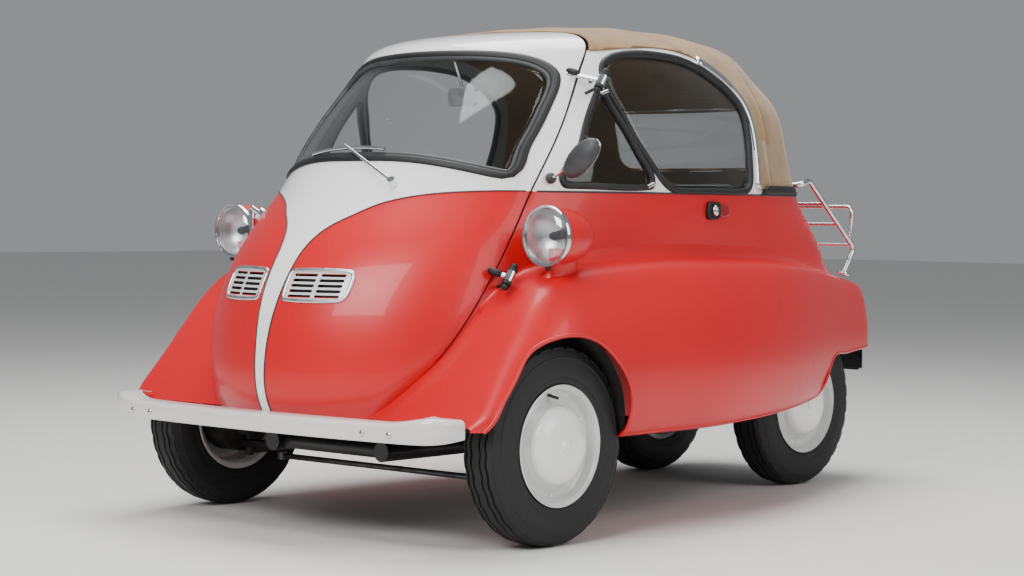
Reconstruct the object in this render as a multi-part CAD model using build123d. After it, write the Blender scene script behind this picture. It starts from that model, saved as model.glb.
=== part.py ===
from build123d import *
import math
import os

# Bubble car: a whole-front door hinged on the left that carries the windscreen, a canvas
# roof, a wide front track, a narrow live rear axle and the engine in the tail.
# Millimetres. +Z is up, the nose points along -Y and the car's left side is +X.
# The origin is on the ground, midway along the car's length and width.

# ---------------------------------------------------------------- driving dimensions
FRONT_AXLE_Y = -700.0          # front wheel centre
WHEELBASE = 1500.0
REAR_AXLE_Y = FRONT_AXLE_Y + WHEELBASE
FRONT_TRACK = 1160.0           # between the front wheels' middle planes
REAR_TRACK = 540.0

TYRE_RADIUS = 247.0
TYRE_WIDTH = 112.0
TYRE_BEAD_RADIUS = 132.0       # where the tyre sits on the rim
RIM_WIDTH = 96.0
HUBCAP_RADIUS = 92.0
HUBCAP_RISE = 22.0
HUB_BORE_RADIUS = 17.0
SPINDLE_RADIUS = 16.95         # running fit in the hub's bore
DRUM_RADIUS = 98.0
KINGPIN_RADIUS = 11.0
KINGPIN_X = 490.0              # kingpin axis from the centreline
STEERING_ARM_LENGTH = 120.0    # kingpin to tie rod end
TIE_ROD_RADIUS = 8.0
TIE_ROD_Z = 128.0
ARM_Z = 150.0                  # steering arms, under the kingpin forks
BALL_PIN_RADIUS = 6.0
FRAME_Z = 212.0
FRAME_TUBE_RADIUS = 25.0
FRAME_FRONT_Y = -880.0
FRAME_REAR_Y = 1060.0
FRAME_X = 200.0                # side tubes under the cabin
FRAME_REAR_X = 150.0           # and over the rear axle
FRAME_KICK = 120.0             # how far they rise over the rear axle
BEAM_Z = 205.0
SWING_ARM_LENGTH = 190.0

WELL_CLEARANCE = 18.0          # tyre to wheel well
WELL_SHIFT = 26.0              # how far the tyre moves fore and aft as it steers
WELL_INNER_X = 408.0
WELL_OUTER_X = 668.0
WELL_CROWN_X = 448.0           # the well narrows above this height
WELL_STEP_Z = 395.0
ARCH_RADIUS = 262.0            # the opening in the wing's skin
ARCH_SHIFT = 14.0

BODY_WALL = 14.0               # whole wall, skin to trim
WING_WALL = 10.0               # skin outside the front wheel
GLASS_THICKNESS = 5.0
SEAL_WIDTH = 16.0
CANVAS_THICKNESS = 9.0
DOOR_GAP = 6.0                 # between the door and its frame
WING_END_Y = -250.0            # the front wings' rear edges
BULKHEAD_Y = 520.0
SHELF_Z = 545.0
FLOOR_Z = 250.0
FLOOR_THICKNESS = 14.0
ROOF_START_Z = 1205.0          # above this the skin's inset turns downwards
HEADER_Z = 1228.0              # top of the side frames, where the canvas starts
CANVAS_SILL_Z = 892.0
CANVAS_BOW_Y = 385.0           # last bow, where the roof canvas ends and the rear canvas starts
CANVAS_GAP = 1.0               # canvas to metal
REAR_WINDOW_WIDTH = 560.0
REAR_WINDOW_HEIGHT = 190.0
REAR_WINDOW_Z = 1035.0
REAR_WINDOW_CORNER = 45.0

SEAM_TOP_Y = -345.0            # the door's edge lies in one leaning plane
SEAM_TOP_Z = 1220.0
SEAM_LEAN = 35.0               # degrees from upright
DOOR_SILL_Z = 300.0
HINGE_X = 500.0
HINGE_UPPER_Z = 1150.0
HINGE_LOWER_Z = 655.0
HINGE_PIN_RADIUS = 5.0
HINGE_FREE_RADIUS = 46.0       # the wing may come this near the hinge axis
HINGE_ROOM_RADIUS = 66.0       # round the lower hinge itself
HINGE_ROOM_LENGTH = 84.0
SWEEP_RAY = 31.0               # degrees from straight ahead that the open door reaches

BUMPER_FRONT_Y = -1150.0
BUMPER_REAR_Y = 1150.0
BUMPER_TOP_Z = 318.0
BUMPER_HEIGHT = 56.0
BUMPER_WALL = 5.0
BUMPER_HALF_WIDTH = 602.0
BUMPER_END_Y = -1004.0
BUMPER_SIDE_Y = -1104.0        # where its front arc meets its sides
BUMPER_CORNER = 75.0           # plan radius of its corners
BUMPER_FLANGE = 42.0           # depth of its top flange
BUMPER_BRACKET_X = 200.0
REAR_BAR_TOP_Z = 398.0
PLATE_BOLT_SPACING = 180.0     # between the rear plate's two bolt holes
PLATE_BOLT_RADIUS = 3.25
PLATE_BOLT_Z = 468.0

HEADLAMP_X = 572.0
HEADLAMP_Y = -683.0
HEADLAMP_Z = 755.0
HEADLAMP_RADIUS = 72.0
HEADLAMP_LENGTH = 150.0
HEADLAMP_WALL = 7.0            # round its bowl
HEADLAMP_TIP = 3.0             # radius of the small flat at each dome's middle

MIRROR_Y = -539.0              # foot of the outside mirror
MIRROR_Z = 899.0
MIRROR_HEAD = (592.0, -577.0, 948.0)
MIRROR_LENGTH = 122.0
MIRROR_DEPTH = 32.0
INNER_MIRROR_X = 60.0
WIPER_PIVOT_Z = 878.0          # under the windscreen seal
HANDLE_X = 395.0
HANDLE_Z = 800.0
SIDE_LAMP_Y = 50.0
SIDE_LAMP_Z = 821.0
TAIL_LAMP_X = 215.0
TAIL_LAMP_Z = 468.0

GRILLE_X = 140.0               # middle of the left grille
GRILLE_Z = 627.0
GRILLE_WIDTH = 168.0
GRILLE_HEIGHT = 84.0
GRILLE_SLANT = 8.0             # half the sideways shift between its top and bottom edges
GRILLE_CORNER = 30.0
GRILLE_FRAME = 14.0            # its rim outside the hole in the door
GRILLE_RISE = 4.0              # how far it stands proud
GRILLE_ROWS = 5
GRILLE_MARGIN = 17.0
GRILLE_SLOT_LENGTH = 62.0
GRILLE_SLOT_HEIGHT = 7.0
GRILLE_BAR = 7.0               # between the two columns of slots

RACK_HALF_WIDTH = 345.0
RACK_TUBE_RADIUS = 8.0
RACK_HOOP_Z = 905.0            # top of the raised loop at the rack's end

SEAT_FRONT_Y = -50.0
SEAT_DEPTH = 400.0
SEAT_WIDTH = 880.0
SEAT_Z = 430.0                 # top of the seat box
CUSHION_THICKNESS = 110.0
BACK_HEIGHT = 380.0
BACK_THICKNESS = 90.0
BACK_LEAN = 12.0
SEAT_ROUNDING = 30.0
SOFT_GAP = 0.3                 # between a soft piece and what it rests on

STEERING_X = 170.0             # the steering wheel sits on the car's left
STEERING_HUB_YZ = (-430.0, 745.0)
STEERING_FOOT_YZ = (-820.0, 400.0)
SHAFT_SHARE = 0.23             # of the column that the wheel's shaft reaches down
SHAFT_RADIUS = 9.0
STEERING_WHEEL_RADIUS = 200.0
COLUMN_RADIUS = 14.0

# Plan outlines of the hull, level by level. Each is an arc round the nose, an arc along
# each side and an arc round the back.
HULL_LEVELS = (
    # z, nose y, nose radius, nose half width, widest half width, rear half width, rear y, rear radius
    (262.0, -1050.0, 500.0, 285.0, 330.0, 300.0, 690.0, 900.0),
    (330.0, -1090.0, 500.0, 325.0, 362.0, 330.0, 715.0, 900.0),
    (450.0, -1106.0, 500.0, 412.0, 450.0, 370.0, 735.0, 900.0),
    (590.0, -1087.0, 500.0, 446.0, 505.0, 395.0, 742.0, 900.0),
    (720.0, -1016.0, 500.0, 452.0, 522.0, 405.0, 742.0, 880.0),
    (872.0, -853.0, 520.0, 444.0, 530.0, 405.0, 732.0, 850.0),
    (1000.0, -739.0, 560.0, 444.0, 512.0, 395.0, 690.0, 820.0),
    (1120.0, -627.0, 560.0, 434.0, 478.0, 370.0, 615.0, 780.0),
    (1205.0, -546.0, 560.0, 418.0, 443.0, 342.0, 545.0, 735.0),
    (1245.0, -512.0, 560.0, 402.0, 418.0, 322.0, 508.0, 700.0),
    (1275.0, -450.0, 545.0, 365.0, 376.0, 290.0, 472.0, 640.0),
    (1300.0, -290.0, 470.0, 280.0, 296.0, 235.0, 425.0, 540.0),
    (1316.0, -150.0, 400.0, 200.0, 216.0, 180.0, 385.0, 450.0),
    (1325.0, -30.0, 320.0, 140.0, 152.0, 128.0, 345.0, 380.0),
    (1330.0, 50.0, 250.0, 92.0, 102.0, 88.0, 312.0, 330.0),
)
WIDEST_SHARE = 0.40            # where each side arc is widest, from its front end

# Cross-sections of one flank of the lower body, from nose to tail.
FLANK_STATIONS = (
    # y, bottom z, bottom x, widest x, widest z, shoulder x, shoulder z, centre z
    (-1000.0, 290.0, 600.0, 613.0, 299.0, 600.0, 308.0, 310.0),
    (-962.0, 289.0, 627.0, 643.0, 313.0, 611.0, 350.0, 356.0),
    (-925.0, 287.0, 638.0, 652.0, 340.0, 611.0, 397.0, 404.0),
    (-885.0, 284.0, 645.0, 656.0, 374.0, 608.0, 446.0, 455.0),
    (-840.0, 279.0, 650.0, 661.0, 412.0, 604.0, 502.0, 513.0),
    (-795.0, 273.0, 652.0, 674.0, 441.0, 602.0, 556.0, 569.0),
    (-745.0, 267.0, 654.0, 686.0, 458.0, 600.0, 606.0, 622.0),
    (-690.0, 261.0, 655.0, 690.0, 466.0, 600.0, 644.0, 664.0),
    (-620.0, 256.0, 655.0, 690.0, 470.0, 600.0, 664.0, 688.0),
    (-480.0, 251.0, 655.0, 690.0, 470.0, 600.0, 678.0, 706.0),
    (-300.0, 250.0, 655.0, 690.0, 470.0, 600.0, 687.0, 716.0),
    (-100.0, 250.0, 654.0, 688.0, 470.0, 599.0, 689.0, 719.0),
    (130.0, 256.0, 632.0, 664.0, 470.0, 586.0, 684.0, 716.0),
    (350.0, 266.0, 590.0, 615.0, 470.0, 558.0, 676.0, 712.0),
    (560.0, 278.0, 524.0, 547.0, 470.0, 500.0, 663.0, 706.0),
    (750.0, 290.0, 455.0, 478.0, 470.0, 436.0, 645.0, 698.0),
    (900.0, 296.0, 404.0, 426.0, 465.0, 388.0, 620.0, 684.0),
    (1010.0, 302.0, 366.0, 386.0, 455.0, 350.0, 590.0, 660.0),
    (1085.0, 312.0, 332.0, 350.0, 445.0, 316.0, 556.0, 618.0),
    (1122.0, 332.0, 292.0, 308.0, 440.0, 276.0, 516.0, 566.0),
)

# The tail's lower edge, which rises over the rear wheels; Y and Z from front to back.
TAIL_EDGE = ((574.0, 288.0), (690.0, 404.0), (1300.0, 412.0))
TAIL_EDGE_BEND = 60.0

# Rear and top edge of the side frames, where the canvas starts; Y and Z.
FRAME_EDGE = ((200.0, HEADER_Z), (296.0, 1172.0), (350.0, 1050.0), (360.0, CANVAS_SILL_Z))
FRAME_EDGE_BEND = 60.0

# Side windows, each an outline in Y and Z.
MAIN_WINDOW = (
    (-180.0, 905.0), (318.0, 905.0), (322.0, 1050.0), (225.0, 1180.0), (-130.0, 1212.0), (-290.0, 1190.0),
)
QUARTER_WINDOW = ((-520.0, 905.0), (-225.0, 905.0), (-318.0, 1120.0), (-370.0, 1120.0))
WINDOW_CORNER = 20.0


# ---------------------------------------------------------------- helpers
def box(x0, x1, y0, y1, z0, z1):
    """A box between two corners."""
    return Pos((x0 + x1) / 2, (y0 + y1) / 2, (z0 + z1) / 2) * Box(abs(x1 - x0), abs(y1 - y0), abs(z1 - z0))


def rod(start, end, radius):
    """A round bar between two points."""
    start = Vector(*start)
    end = Vector(*end)
    run = end - start
    plane = Plane(origin=start + run / 2, z_dir=run)
    return plane * Cylinder(radius, run.length)


def disc_x(x0, x1, y, z, radius):
    """A cylinder along X."""
    return rod((x0, y, z), (x1, y, z), radius)


def bent_tube(points, radius, bend):
    """A round tube along straight runs joined by arcs."""
    path = FilletPolyline(*points, radius=bend)
    section = Plane(origin=path @ 0, z_dir=path % 0) * Circle(radius)
    return sweep(section, path=path)


def mirrored(shape):
    """The same shape on the other side of the car."""
    return mirror(shape, about=Plane.YZ)


def both_sides(shape):
    """The solids of a shape and of its mirror image, as one list."""
    return [*shape.solids(), *mirrored(shape).solids()]


def across(outline, bend, x0, x1):
    """A prism along X from points in Y and Z, with its corners rounded where a bend is given."""
    face = make_face(Polyline(*outline, close=True))
    if bend:
        inner = [v for v in face.vertices() if any(math.dist((v.X, v.Y), point) < 1e-6 for point in bend[1])]
        face = fillet(inner, bend[0])
    placed = Plane(origin=(x0, 0, 0), x_dir=(0, 1, 0), z_dir=(1, 0, 0)) * face
    return extrude(placed, x1 - x0)


def write(name, *shapes):
    """Write one node from one or more solids."""
    solids = [solid for shape in shapes for solid in shape.solids()]
    export_step(Compound(children=solids) if len(solids) > 1 else solids[0], f"parts/{name}.step")


# ---------------------------------------------------------------- body forms
def arc_end_y(front_y, radius, half_width, sign):
    """Y where an end arc reaches its half width."""
    return front_y + sign * (radius - math.sqrt(radius ** 2 - half_width ** 2))


def plan_face(level, inset):
    """One plan outline, moved inwards by the inset."""
    z, nose_y, nose_r, nose_x, wide, rear_x, rear_y, rear_r = level
    nose_y, nose_r, nose_x = nose_y + inset, nose_r - inset, nose_x - inset
    rear_y, rear_r, rear_x = rear_y - inset, rear_r - inset, rear_x - inset
    wide -= inset
    nose_end = arc_end_y(nose_y, nose_r, nose_x, 1)
    rear_end = arc_end_y(rear_y, rear_r, rear_x, -1)
    wide_y = nose_end + (rear_end - nose_end) * WIDEST_SHARE
    edges = [
        Edge.make_three_point_arc((-nose_x, nose_end, z), (0, nose_y, z), (nose_x, nose_end, z)),
        Edge.make_three_point_arc((nose_x, nose_end, z), (wide, wide_y, z), (rear_x, rear_end, z)),
        Edge.make_three_point_arc((rear_x, rear_end, z), (0, rear_y, z), (-rear_x, rear_end, z)),
        Edge.make_three_point_arc((-rear_x, rear_end, z), (-wide, wide_y, z), (-nose_x, nose_end, z)),
    ]
    return Face(Wire(edges))


def hull(inset):
    """The closed hull form at an inset from the outer skin."""
    top_z = HULL_LEVELS[-1][0]
    faces = []
    for z, *outline in HULL_LEVELS:
        share = max(0.0, (z - ROOF_START_Z) / (top_z - ROOF_START_Z))
        faces.append(plan_face((z - inset * share, *outline), inset))
    return loft(faces)


def cavity(wall):
    """The hull's inside for a wall that is as thick on the roof as on the sides."""
    return hull(wall) & Pos(0, 0, -wall) * hull(0)


def flank_face(station, inset, side):
    """One cross-section of a flank, from the centreline outwards."""
    y, bottom_z, bottom_x, wide_x, wide_z, shoulder_x, shoulder_z, centre_z = station
    centre_z, shoulder_z = centre_z - inset, shoulder_z - inset
    bottom_x, wide_x, shoulder_x = bottom_x - inset, wide_x - inset, shoulder_x - inset
    corner = (side * bottom_x, y, bottom_z)
    shoulder = (side * shoulder_x, y, shoulder_z)
    edges = [
        Edge.make_line((0, y, bottom_z), corner),
        Edge.make_three_point_arc(corner, (side * wide_x, y, wide_z), shoulder),
        Edge.make_line(shoulder, (0, y, centre_z)),
        Edge.make_line((0, y, centre_z), (0, y, bottom_z)),
    ]
    return Face(Wire(edges))


def flank(inset, side):
    """One flank of the lower body: front wing, shelf beside the cabin and tail."""
    stations = [list(station) for station in FLANK_STATIONS]
    stations[0][0] += inset
    stations[-1][0] -= inset
    return loft([flank_face(station, inset, side) for station in stations])


def seam_plane():
    """The plane of the door's edge; its normal points forward and up."""
    lean = math.radians(SEAM_LEAN)
    normal = (0, -math.cos(lean), math.sin(lean))
    return Plane(origin=(0, SEAM_TOP_Y, SEAM_TOP_Z), x_dir=(1, 0, 0), z_dir=normal)


def front_of_seam(gap):
    """Everything ahead of the seam, less the gap."""
    return seam_plane() * Pos(0, 0, 1500 + gap) * Box(3000, 4000, 3000)


def behind_seam(gap):
    """Everything behind the seam, less the gap."""
    return seam_plane() * Pos(0, 0, -1500 - gap) * Box(3000, 4000, 3000)


def seam_y(z):
    """Y of the seam at a height."""
    return SEAM_TOP_Y - math.tan(math.radians(SEAM_LEAN)) * (SEAM_TOP_Z - z)


def hinge_point(z):
    """A point of the door's hinge axis at a height."""
    return Vector(HINGE_X, seam_y(z), z)


def hinge_axis():
    """Upward direction of the door's hinge axis."""
    lean = math.radians(SEAM_LEAN)
    return Vector(0, math.sin(lean), math.cos(lean))


def side_prism(outline, inset):
    """A prism across the car from a window outline, smaller by the inset."""
    face = make_face(Polyline(*outline, close=True))
    face = fillet(face.vertices(), WINDOW_CORNER)
    if inset:
        face = offset(face, -inset, kind=Kind.ARC)
    placed = Plane(origin=(0, 0, 0), x_dir=(0, 1, 0), z_dir=(1, 0, 0)) * face
    return extrude(placed, 800, both=True)


def screen_prism(inset):
    """A prism through the windscreen, normal to its centreline."""
    base_y, base_z = -829.0, 903.0
    top_y, top_z = -548.0, 1205.0
    run = Vector(0, top_y - base_y, top_z - base_z)
    middle = Vector(0, (top_y + base_y) / 2, (top_z + base_z) / 2)
    plane = Plane(origin=middle, x_dir=(1, 0, 0), z_dir=run.cross(Vector(1, 0, 0)) * -1)
    half = run.length / 2
    outline = ((-425, -half), (425, -half), (372, half), (-372, half))
    face = fillet(make_face(Polyline(*outline, close=True)).vertices(), 60)
    if inset:
        face = offset(face, -inset, kind=Kind.ARC)
    return extrude(plane * face, 420, both=True)


def wheel_well(side):
    """Room for a front wheel at every lock; the skin outside it has one round arch."""
    radius = TYRE_RADIUS + WELL_CLEARANCE
    outline = Plane.YZ * Pos(FRONT_AXLE_Y, TYRE_RADIUS) * SlotCenterToCenter(2 * WELL_SHIFT, 2 * radius)
    well = Pos(side * WELL_INNER_X, 0, 0) * extrude(outline, side * (WELL_OUTER_X - WELL_INNER_X))
    well -= box(0, side * WELL_CROWN_X, -1200, 0, WELL_STEP_Z, 700)
    well = well & flank(WING_WALL, side)
    arch = Plane.YZ * Pos(FRONT_AXLE_Y - ARCH_SHIFT, TYRE_RADIUS) * Circle(ARCH_RADIUS)
    opening = Pos(side * WELL_CROWN_X, 0, 0) * extrude(arch, side * 400)
    front_y, rear_y = FRONT_AXLE_Y - radius - WELL_SHIFT + 15, FRONT_AXLE_Y + radius - WELL_SHIFT - 11
    below = box(side * WELL_INNER_X, side * 640, front_y, rear_y, 0, TYRE_RADIUS + 40)
    arm_y = FRONT_AXLE_Y + 220
    arms = box(side * (KINGPIN_X - 128), side * (KINGPIN_X - 60), FRONT_AXLE_Y - 32, arm_y, 0, 346)
    return well + opening + below + arms


def door_sweep(hinged):
    """Room in front of the left wing for the door, with or without the hinge's own room."""
    plane = Plane(origin=hinge_point(HINGE_LOWER_Z), x_dir=(1, 0, 0), z_dir=hinge_axis())
    reach = 900.0
    ray = math.radians(SWEEP_RAY)
    free = HINGE_FREE_RADIUS if hinged else 1.0
    near = (free * math.sin(ray), -free * math.cos(ray))
    far = (reach * math.sin(ray), -reach * math.cos(ray))
    knee = (-free * 0.7, near[1] * 0.75)
    outline = Polyline((-free - 40, 0), (-free, 0), knee, near, far,
                       (-reach, far[1]), (-reach, 0), close=True)
    room = extrude(plane * make_face(outline), 700, both=True)
    if hinged:
        room += plane * Cylinder(HINGE_ROOM_RADIUS, HINGE_ROOM_LENGTH)
    return room


# ---------------------------------------------------------------- body
def cut_windows():
    """Every side window opening, through both sides."""
    return side_prism(MAIN_WINDOW, 0) + side_prism(QUARTER_WINDOW, 0)


def rear_wheel_room():
    """Room for the two rear wheels under the tail."""
    half = REAR_TRACK / 2 + TYRE_WIDTH / 2 + 26
    well = disc_x(-half, half, REAR_AXLE_Y, TYRE_RADIUS, TYRE_RADIUS + 26)
    return well + box(-half, half, REAR_AXLE_Y - 150, REAR_AXLE_Y + 200, 0, 300)


def engine_room():
    """The tail's hollow above the rear axle."""
    return box(-270, 270, BULKHEAD_Y + 30, 1090, 290, 560)


def below_tail():
    """Everything under the tail's lower edge."""
    front_y = TAIL_EDGE[0][0]
    outline = [(front_y, 0), *TAIL_EDGE, (TAIL_EDGE[-1][0], 0)]
    return across(outline, (TAIL_EDGE_BEND, TAIL_EDGE[1:2]), -800, 800)


def soft_zone(gap):
    """Everything above and behind the side frames, further out by the gap."""
    edge = [(y + gap, z + gap) for y, z in FRAME_EDGE]
    outline = [(-1200, edge[0][1]), *edge, (1400, edge[-1][1]), (1400, 1500), (-1200, 1500)]
    return across(outline, (FRAME_EDGE_BEND, edge[:3]), -800, 800)


def largest(shape):
    """The biggest solid of a cut; the offcuts fall away."""
    return max(shape.solids(), key=lambda solid: solid.volume)


def make_body(outer, inner):
    """Cabin shell, front wings and tail: one welded body in three nodes."""
    low_room = box(-900, 900, BULKHEAD_Y + 0.1, 900, 0, SHELF_Z - FLOOR_THICKNESS - 1)
    cabin = (outer & behind_seam(0)) - [
        inner, low_room, cut_windows(), soft_zone(0), rear_wheel_room(), wheel_well(1), wheel_well(-1),
        engine_room()]
    door_room = hull(-DOOR_GAP) & front_of_seam(0)
    low = flank(0, 1)
    wing_zone = box(0, 900, -1400, WING_END_Y, 0, 900)
    tail_zone = box(0, 900, WING_END_Y, 1400, 0, 900)
    wing = (low & wing_zone) - [outer, door_room, wheel_well(1)]
    left_wing, right_wing = largest(wing - door_sweep(True)), mirrored(largest(wing - door_sweep(False)))
    half_tail = largest((low & tail_zone) - [outer, rear_wheel_room(), engine_room(), below_tail()])
    return cabin, [left_wing, right_wing], half_tail + mirrored(half_tail)


def make_door(outer, inner):
    """Door panel with the windscreen frame, the header and the openings behind the grilles."""
    below = box(-900, 900, -1400, 0, 0, DOOR_SILL_Z)
    panel = (outer & front_of_seam(DOOR_GAP)) - [inner, screen_prism(0), below]
    return largest(panel) - both_sides(grille_prism(GRILLE_FRAME))


def grille_prism(inset):
    """A prism along the car through the left grille's outline, smaller by the inset."""
    half_x, half_z = GRILLE_WIDTH / 2, GRILLE_HEIGHT / 2
    outline = ((-half_x - GRILLE_SLANT, half_z), (half_x - GRILLE_SLANT, half_z),
               (half_x + GRILLE_SLANT, -half_z), (-half_x + GRILLE_SLANT, -half_z))
    face = fillet(make_face(Polyline(*outline, close=True)).vertices(), GRILLE_CORNER)
    if inset:
        face = offset(face, -inset, kind=Kind.ARC)
    placed = Plane(origin=(GRILLE_X, -900, GRILLE_Z), x_dir=(1, 0, 0), z_dir=(0, -1, 0)) * face
    return extrude(placed, 300)


def make_grilles():
    """A light slotted plate on each side of the nose."""
    plate = (hull(-GRILLE_RISE) - hull(-0.2)) & grille_prism(0)
    rows = GRILLE_ROWS - 1
    pitch = (GRILLE_HEIGHT - 2 * GRILLE_MARGIN) / rows
    slots = []
    for row in range(GRILLE_ROWS):
        z = GRILLE_Z + (row - rows / 2) * pitch
        shift = -GRILLE_SLANT * (z - GRILLE_Z) / (GRILLE_HEIGHT / 2)
        for way in (-1, 1):
            x = GRILLE_X + shift + way * (GRILLE_SLOT_LENGTH / 2 + GRILLE_BAR / 2)
            slots.append(box(x - GRILLE_SLOT_LENGTH / 2, x + GRILLE_SLOT_LENGTH / 2, -1300, -900,
                             z - GRILLE_SLOT_HEIGHT / 2, z + GRILLE_SLOT_HEIGHT / 2))
    return both_sides(largest(plate - slots))


def make_glazing():
    """Panes and rubber seals; each name with its solids."""
    pane = hull(4) - hull(4 + GLASS_THICKNESS)
    seal_skin = hull(-3) - hull(BODY_WALL + 3)
    screen = pane & screen_prism(SEAL_WIDTH)
    screen_seal = (seal_skin & screen_prism(0.02)) - screen_prism(SEAL_WIDTH)
    glass, seals = [], []
    for outline in (MAIN_WINDOW, QUARTER_WINDOW):
        glass += (pane & side_prism(outline, SEAL_WIDTH)).solids()
        seals += ((seal_skin & side_prism(outline, 0.02)) - side_prism(outline, SEAL_WIDTH)).solids()
    rear = (hull(2) - hull(5)) & rear_window_prism(0.02)
    return {
        "windscreen": screen,
        "windscreen_seal": screen_seal,
        "side_windows": Compound(children=glass),
        "side_window_seals": Compound(children=seals),
        "rear_window": rear,
    }


def make_canvas(outer):
    """Folding roof and rear canvas, each a shell of one thickness."""
    soft = (outer - cavity(CANVAS_THICKNESS)) & soft_zone(CANVAS_GAP) & behind_seam(CANVAS_GAP)
    roof = largest(soft & box(-900, 900, -1200, CANVAS_BOW_Y, 0, 1500))
    rear = largest(soft & box(-900, 900, CANVAS_BOW_Y + CANVAS_GAP, 1200, 0, 1500)) - rear_window_prism(0)
    return {"roof_canvas": roof, "rear_canvas": rear}


def rear_window_prism(inset):
    """A prism along the car through the rear window."""
    outline = RectangleRounded(REAR_WINDOW_WIDTH - 2 * inset, REAR_WINDOW_HEIGHT - 2 * inset,
                               REAR_WINDOW_CORNER)
    placed = Plane(origin=(0, 500, REAR_WINDOW_Z), x_dir=(-1, 0, 0), z_dir=(0, 1, 0)) * outline
    return extrude(placed, 500, both=True)


def make_floor():
    """Floor panel with the bulkhead and the shelf ahead of the rear wheels."""
    room = hull(BODY_WALL + 0.2)
    top = FLOOR_Z + FLOOR_THICKNESS
    sill_y = seam_y(FLOOR_Z) + 12
    pieces = box(-600, 600, sill_y, BULKHEAD_Y, FLOOR_Z + 13, top + 13)
    pieces += box(-600, 600, BULKHEAD_Y - FLOOR_THICKNESS, BULKHEAD_Y, FLOOR_Z + 13, SHELF_Z)
    pieces += box(-600, 600, BULKHEAD_Y - FLOOR_THICKNESS, 720, SHELF_Z - FLOOR_THICKNESS, SHELF_Z)
    pieces = pieces & room
    return largest(pieces - [wheel_well(1), wheel_well(-1)])


# ---------------------------------------------------------------- running gear
def make_tyre(x, y):
    """Tyre of one wheel."""
    half = TYRE_WIDTH / 2
    with_flank = Polyline(
        (-half + 8, TYRE_BEAD_RADIUS), (-half, 185), (-half + 5, 222), (-half + 22, TYRE_RADIUS - 3),
        (0, TYRE_RADIUS), (half - 22, TYRE_RADIUS - 3), (half - 5, 222), (half, 185),
        (half - 8, TYRE_BEAD_RADIUS), close=True)
    return Pos(x, y, TYRE_RADIUS) * revolve(make_face(with_flank), Axis.X, 360)


def make_rim(x, y, side):
    """Rim, disc and domed hub cap of one wheel; the cap faces outwards."""
    half = RIM_WIDTH / 2
    profile = Polyline(
        (-half, TYRE_BEAD_RADIUS), (-half, TYRE_BEAD_RADIUS - 8), (6, 112), (6, HUB_BORE_RADIUS),
        (24, HUB_BORE_RADIUS), (24, 0), (half + HUBCAP_RISE, 0), (half + HUBCAP_RISE - 3, 30),
        (half + 6, 62), (30, HUBCAP_RADIUS), (24, 110), (half - 12, 124),
        (half, TYRE_BEAD_RADIUS), close=True)
    flipped = [(side * p.X, p.Y) for p in profile.vertices()]
    rim = revolve(make_face(Polyline(*flipped, close=True)), Axis.X, 360)
    return Pos(x, y, TYRE_RADIUS) * rim


def make_knuckle(side):
    """Kingpin, brake drum, spindle and steering arm with its ball pin."""
    x = side * KINGPIN_X
    wheel_x = side * FRONT_TRACK / 2
    z = TYRE_RADIUS
    knuckle = rod((x, FRONT_AXLE_Y, ARM_Z - 11), (x, FRONT_AXLE_Y, z + 92), KINGPIN_RADIUS)
    knuckle += box(x - 22, x + 22, FRONT_AXLE_Y - 22, FRONT_AXLE_Y + 22, z - 50, z + 50)
    knuckle += disc_x(x + side * 24, wheel_x + side * 4, FRONT_AXLE_Y, z, DRUM_RADIUS)
    knuckle += disc_x(x + side * 4, wheel_x + side * 22, FRONT_AXLE_Y, z, SPINDLE_RADIUS)
    end_x, end_y = x, FRONT_AXLE_Y + STEERING_ARM_LENGTH
    knuckle += rod((x, FRONT_AXLE_Y, ARM_Z), (end_x, end_y, ARM_Z), 8)
    knuckle += rod((end_x, end_y, TIE_ROD_Z - 14), (end_x, end_y, ARM_Z + 11), BALL_PIN_RADIUS)
    return knuckle


def make_axle_beam():
    """Front cross tubes with swinging arms and the forks that hold the kingpins."""
    z = TYRE_RADIUS
    beam_y = FRONT_AXLE_Y + SWING_ARM_LENGTH
    beam = None
    for side in (1, -1):
        x = side * KINGPIN_X
        arm_x = side * (KINGPIN_X - 110)
        piece = rod((side * 150, beam_y, BEAM_Z), (arm_x, beam_y, BEAM_Z), 24)
        piece += rod((arm_x, beam_y, BEAM_Z), (arm_x, FRONT_AXLE_Y, BEAM_Z), 14)
        piece += rod((arm_x, FRONT_AXLE_Y, z - 84), (arm_x, FRONT_AXLE_Y, z + 84), 14)
        for level in (z - 75, z + 75):
            piece += box(arm_x, x + side * 16, FRONT_AXLE_Y - 18, FRONT_AXLE_Y + 18, level - 9, level + 9)
        piece -= rod((x, FRONT_AXLE_Y, z - 90), (x, FRONT_AXLE_Y, z + 90), KINGPIN_RADIUS + 0.05)
        beam = piece if beam is None else beam + piece
    return beam - make_chassis()


def make_tie_rod():
    """Tie rod between the steering arms; its right eye has play round its pin."""
    y = FRONT_AXLE_Y + STEERING_ARM_LENGTH
    x = KINGPIN_X
    bar = rod((-x, y, TIE_ROD_Z), (x, y, TIE_ROD_Z), TIE_ROD_RADIUS)
    for side, play in ((1, 0.05), (-1, 1.5)):
        bar += Pos(side * x, y, TIE_ROD_Z) * Cylinder(14, 20)
        bar -= Pos(side * x, y, TIE_ROD_Z) * Cylinder(BALL_PIN_RADIUS + play, 30)
    return bar


def make_rear_axle():
    """Rear axle with both brake drums; it turns as one piece in the chassis bearings."""
    half = REAR_TRACK / 2
    axle = disc_x(-half - 22, half + 22, REAR_AXLE_Y, TYRE_RADIUS, SPINDLE_RADIUS)
    for side in (1, -1):
        axle += disc_x(side * (half - 48), side * (half + 4), REAR_AXLE_Y, TYRE_RADIUS, DRUM_RADIUS - 6)
    return axle


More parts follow.
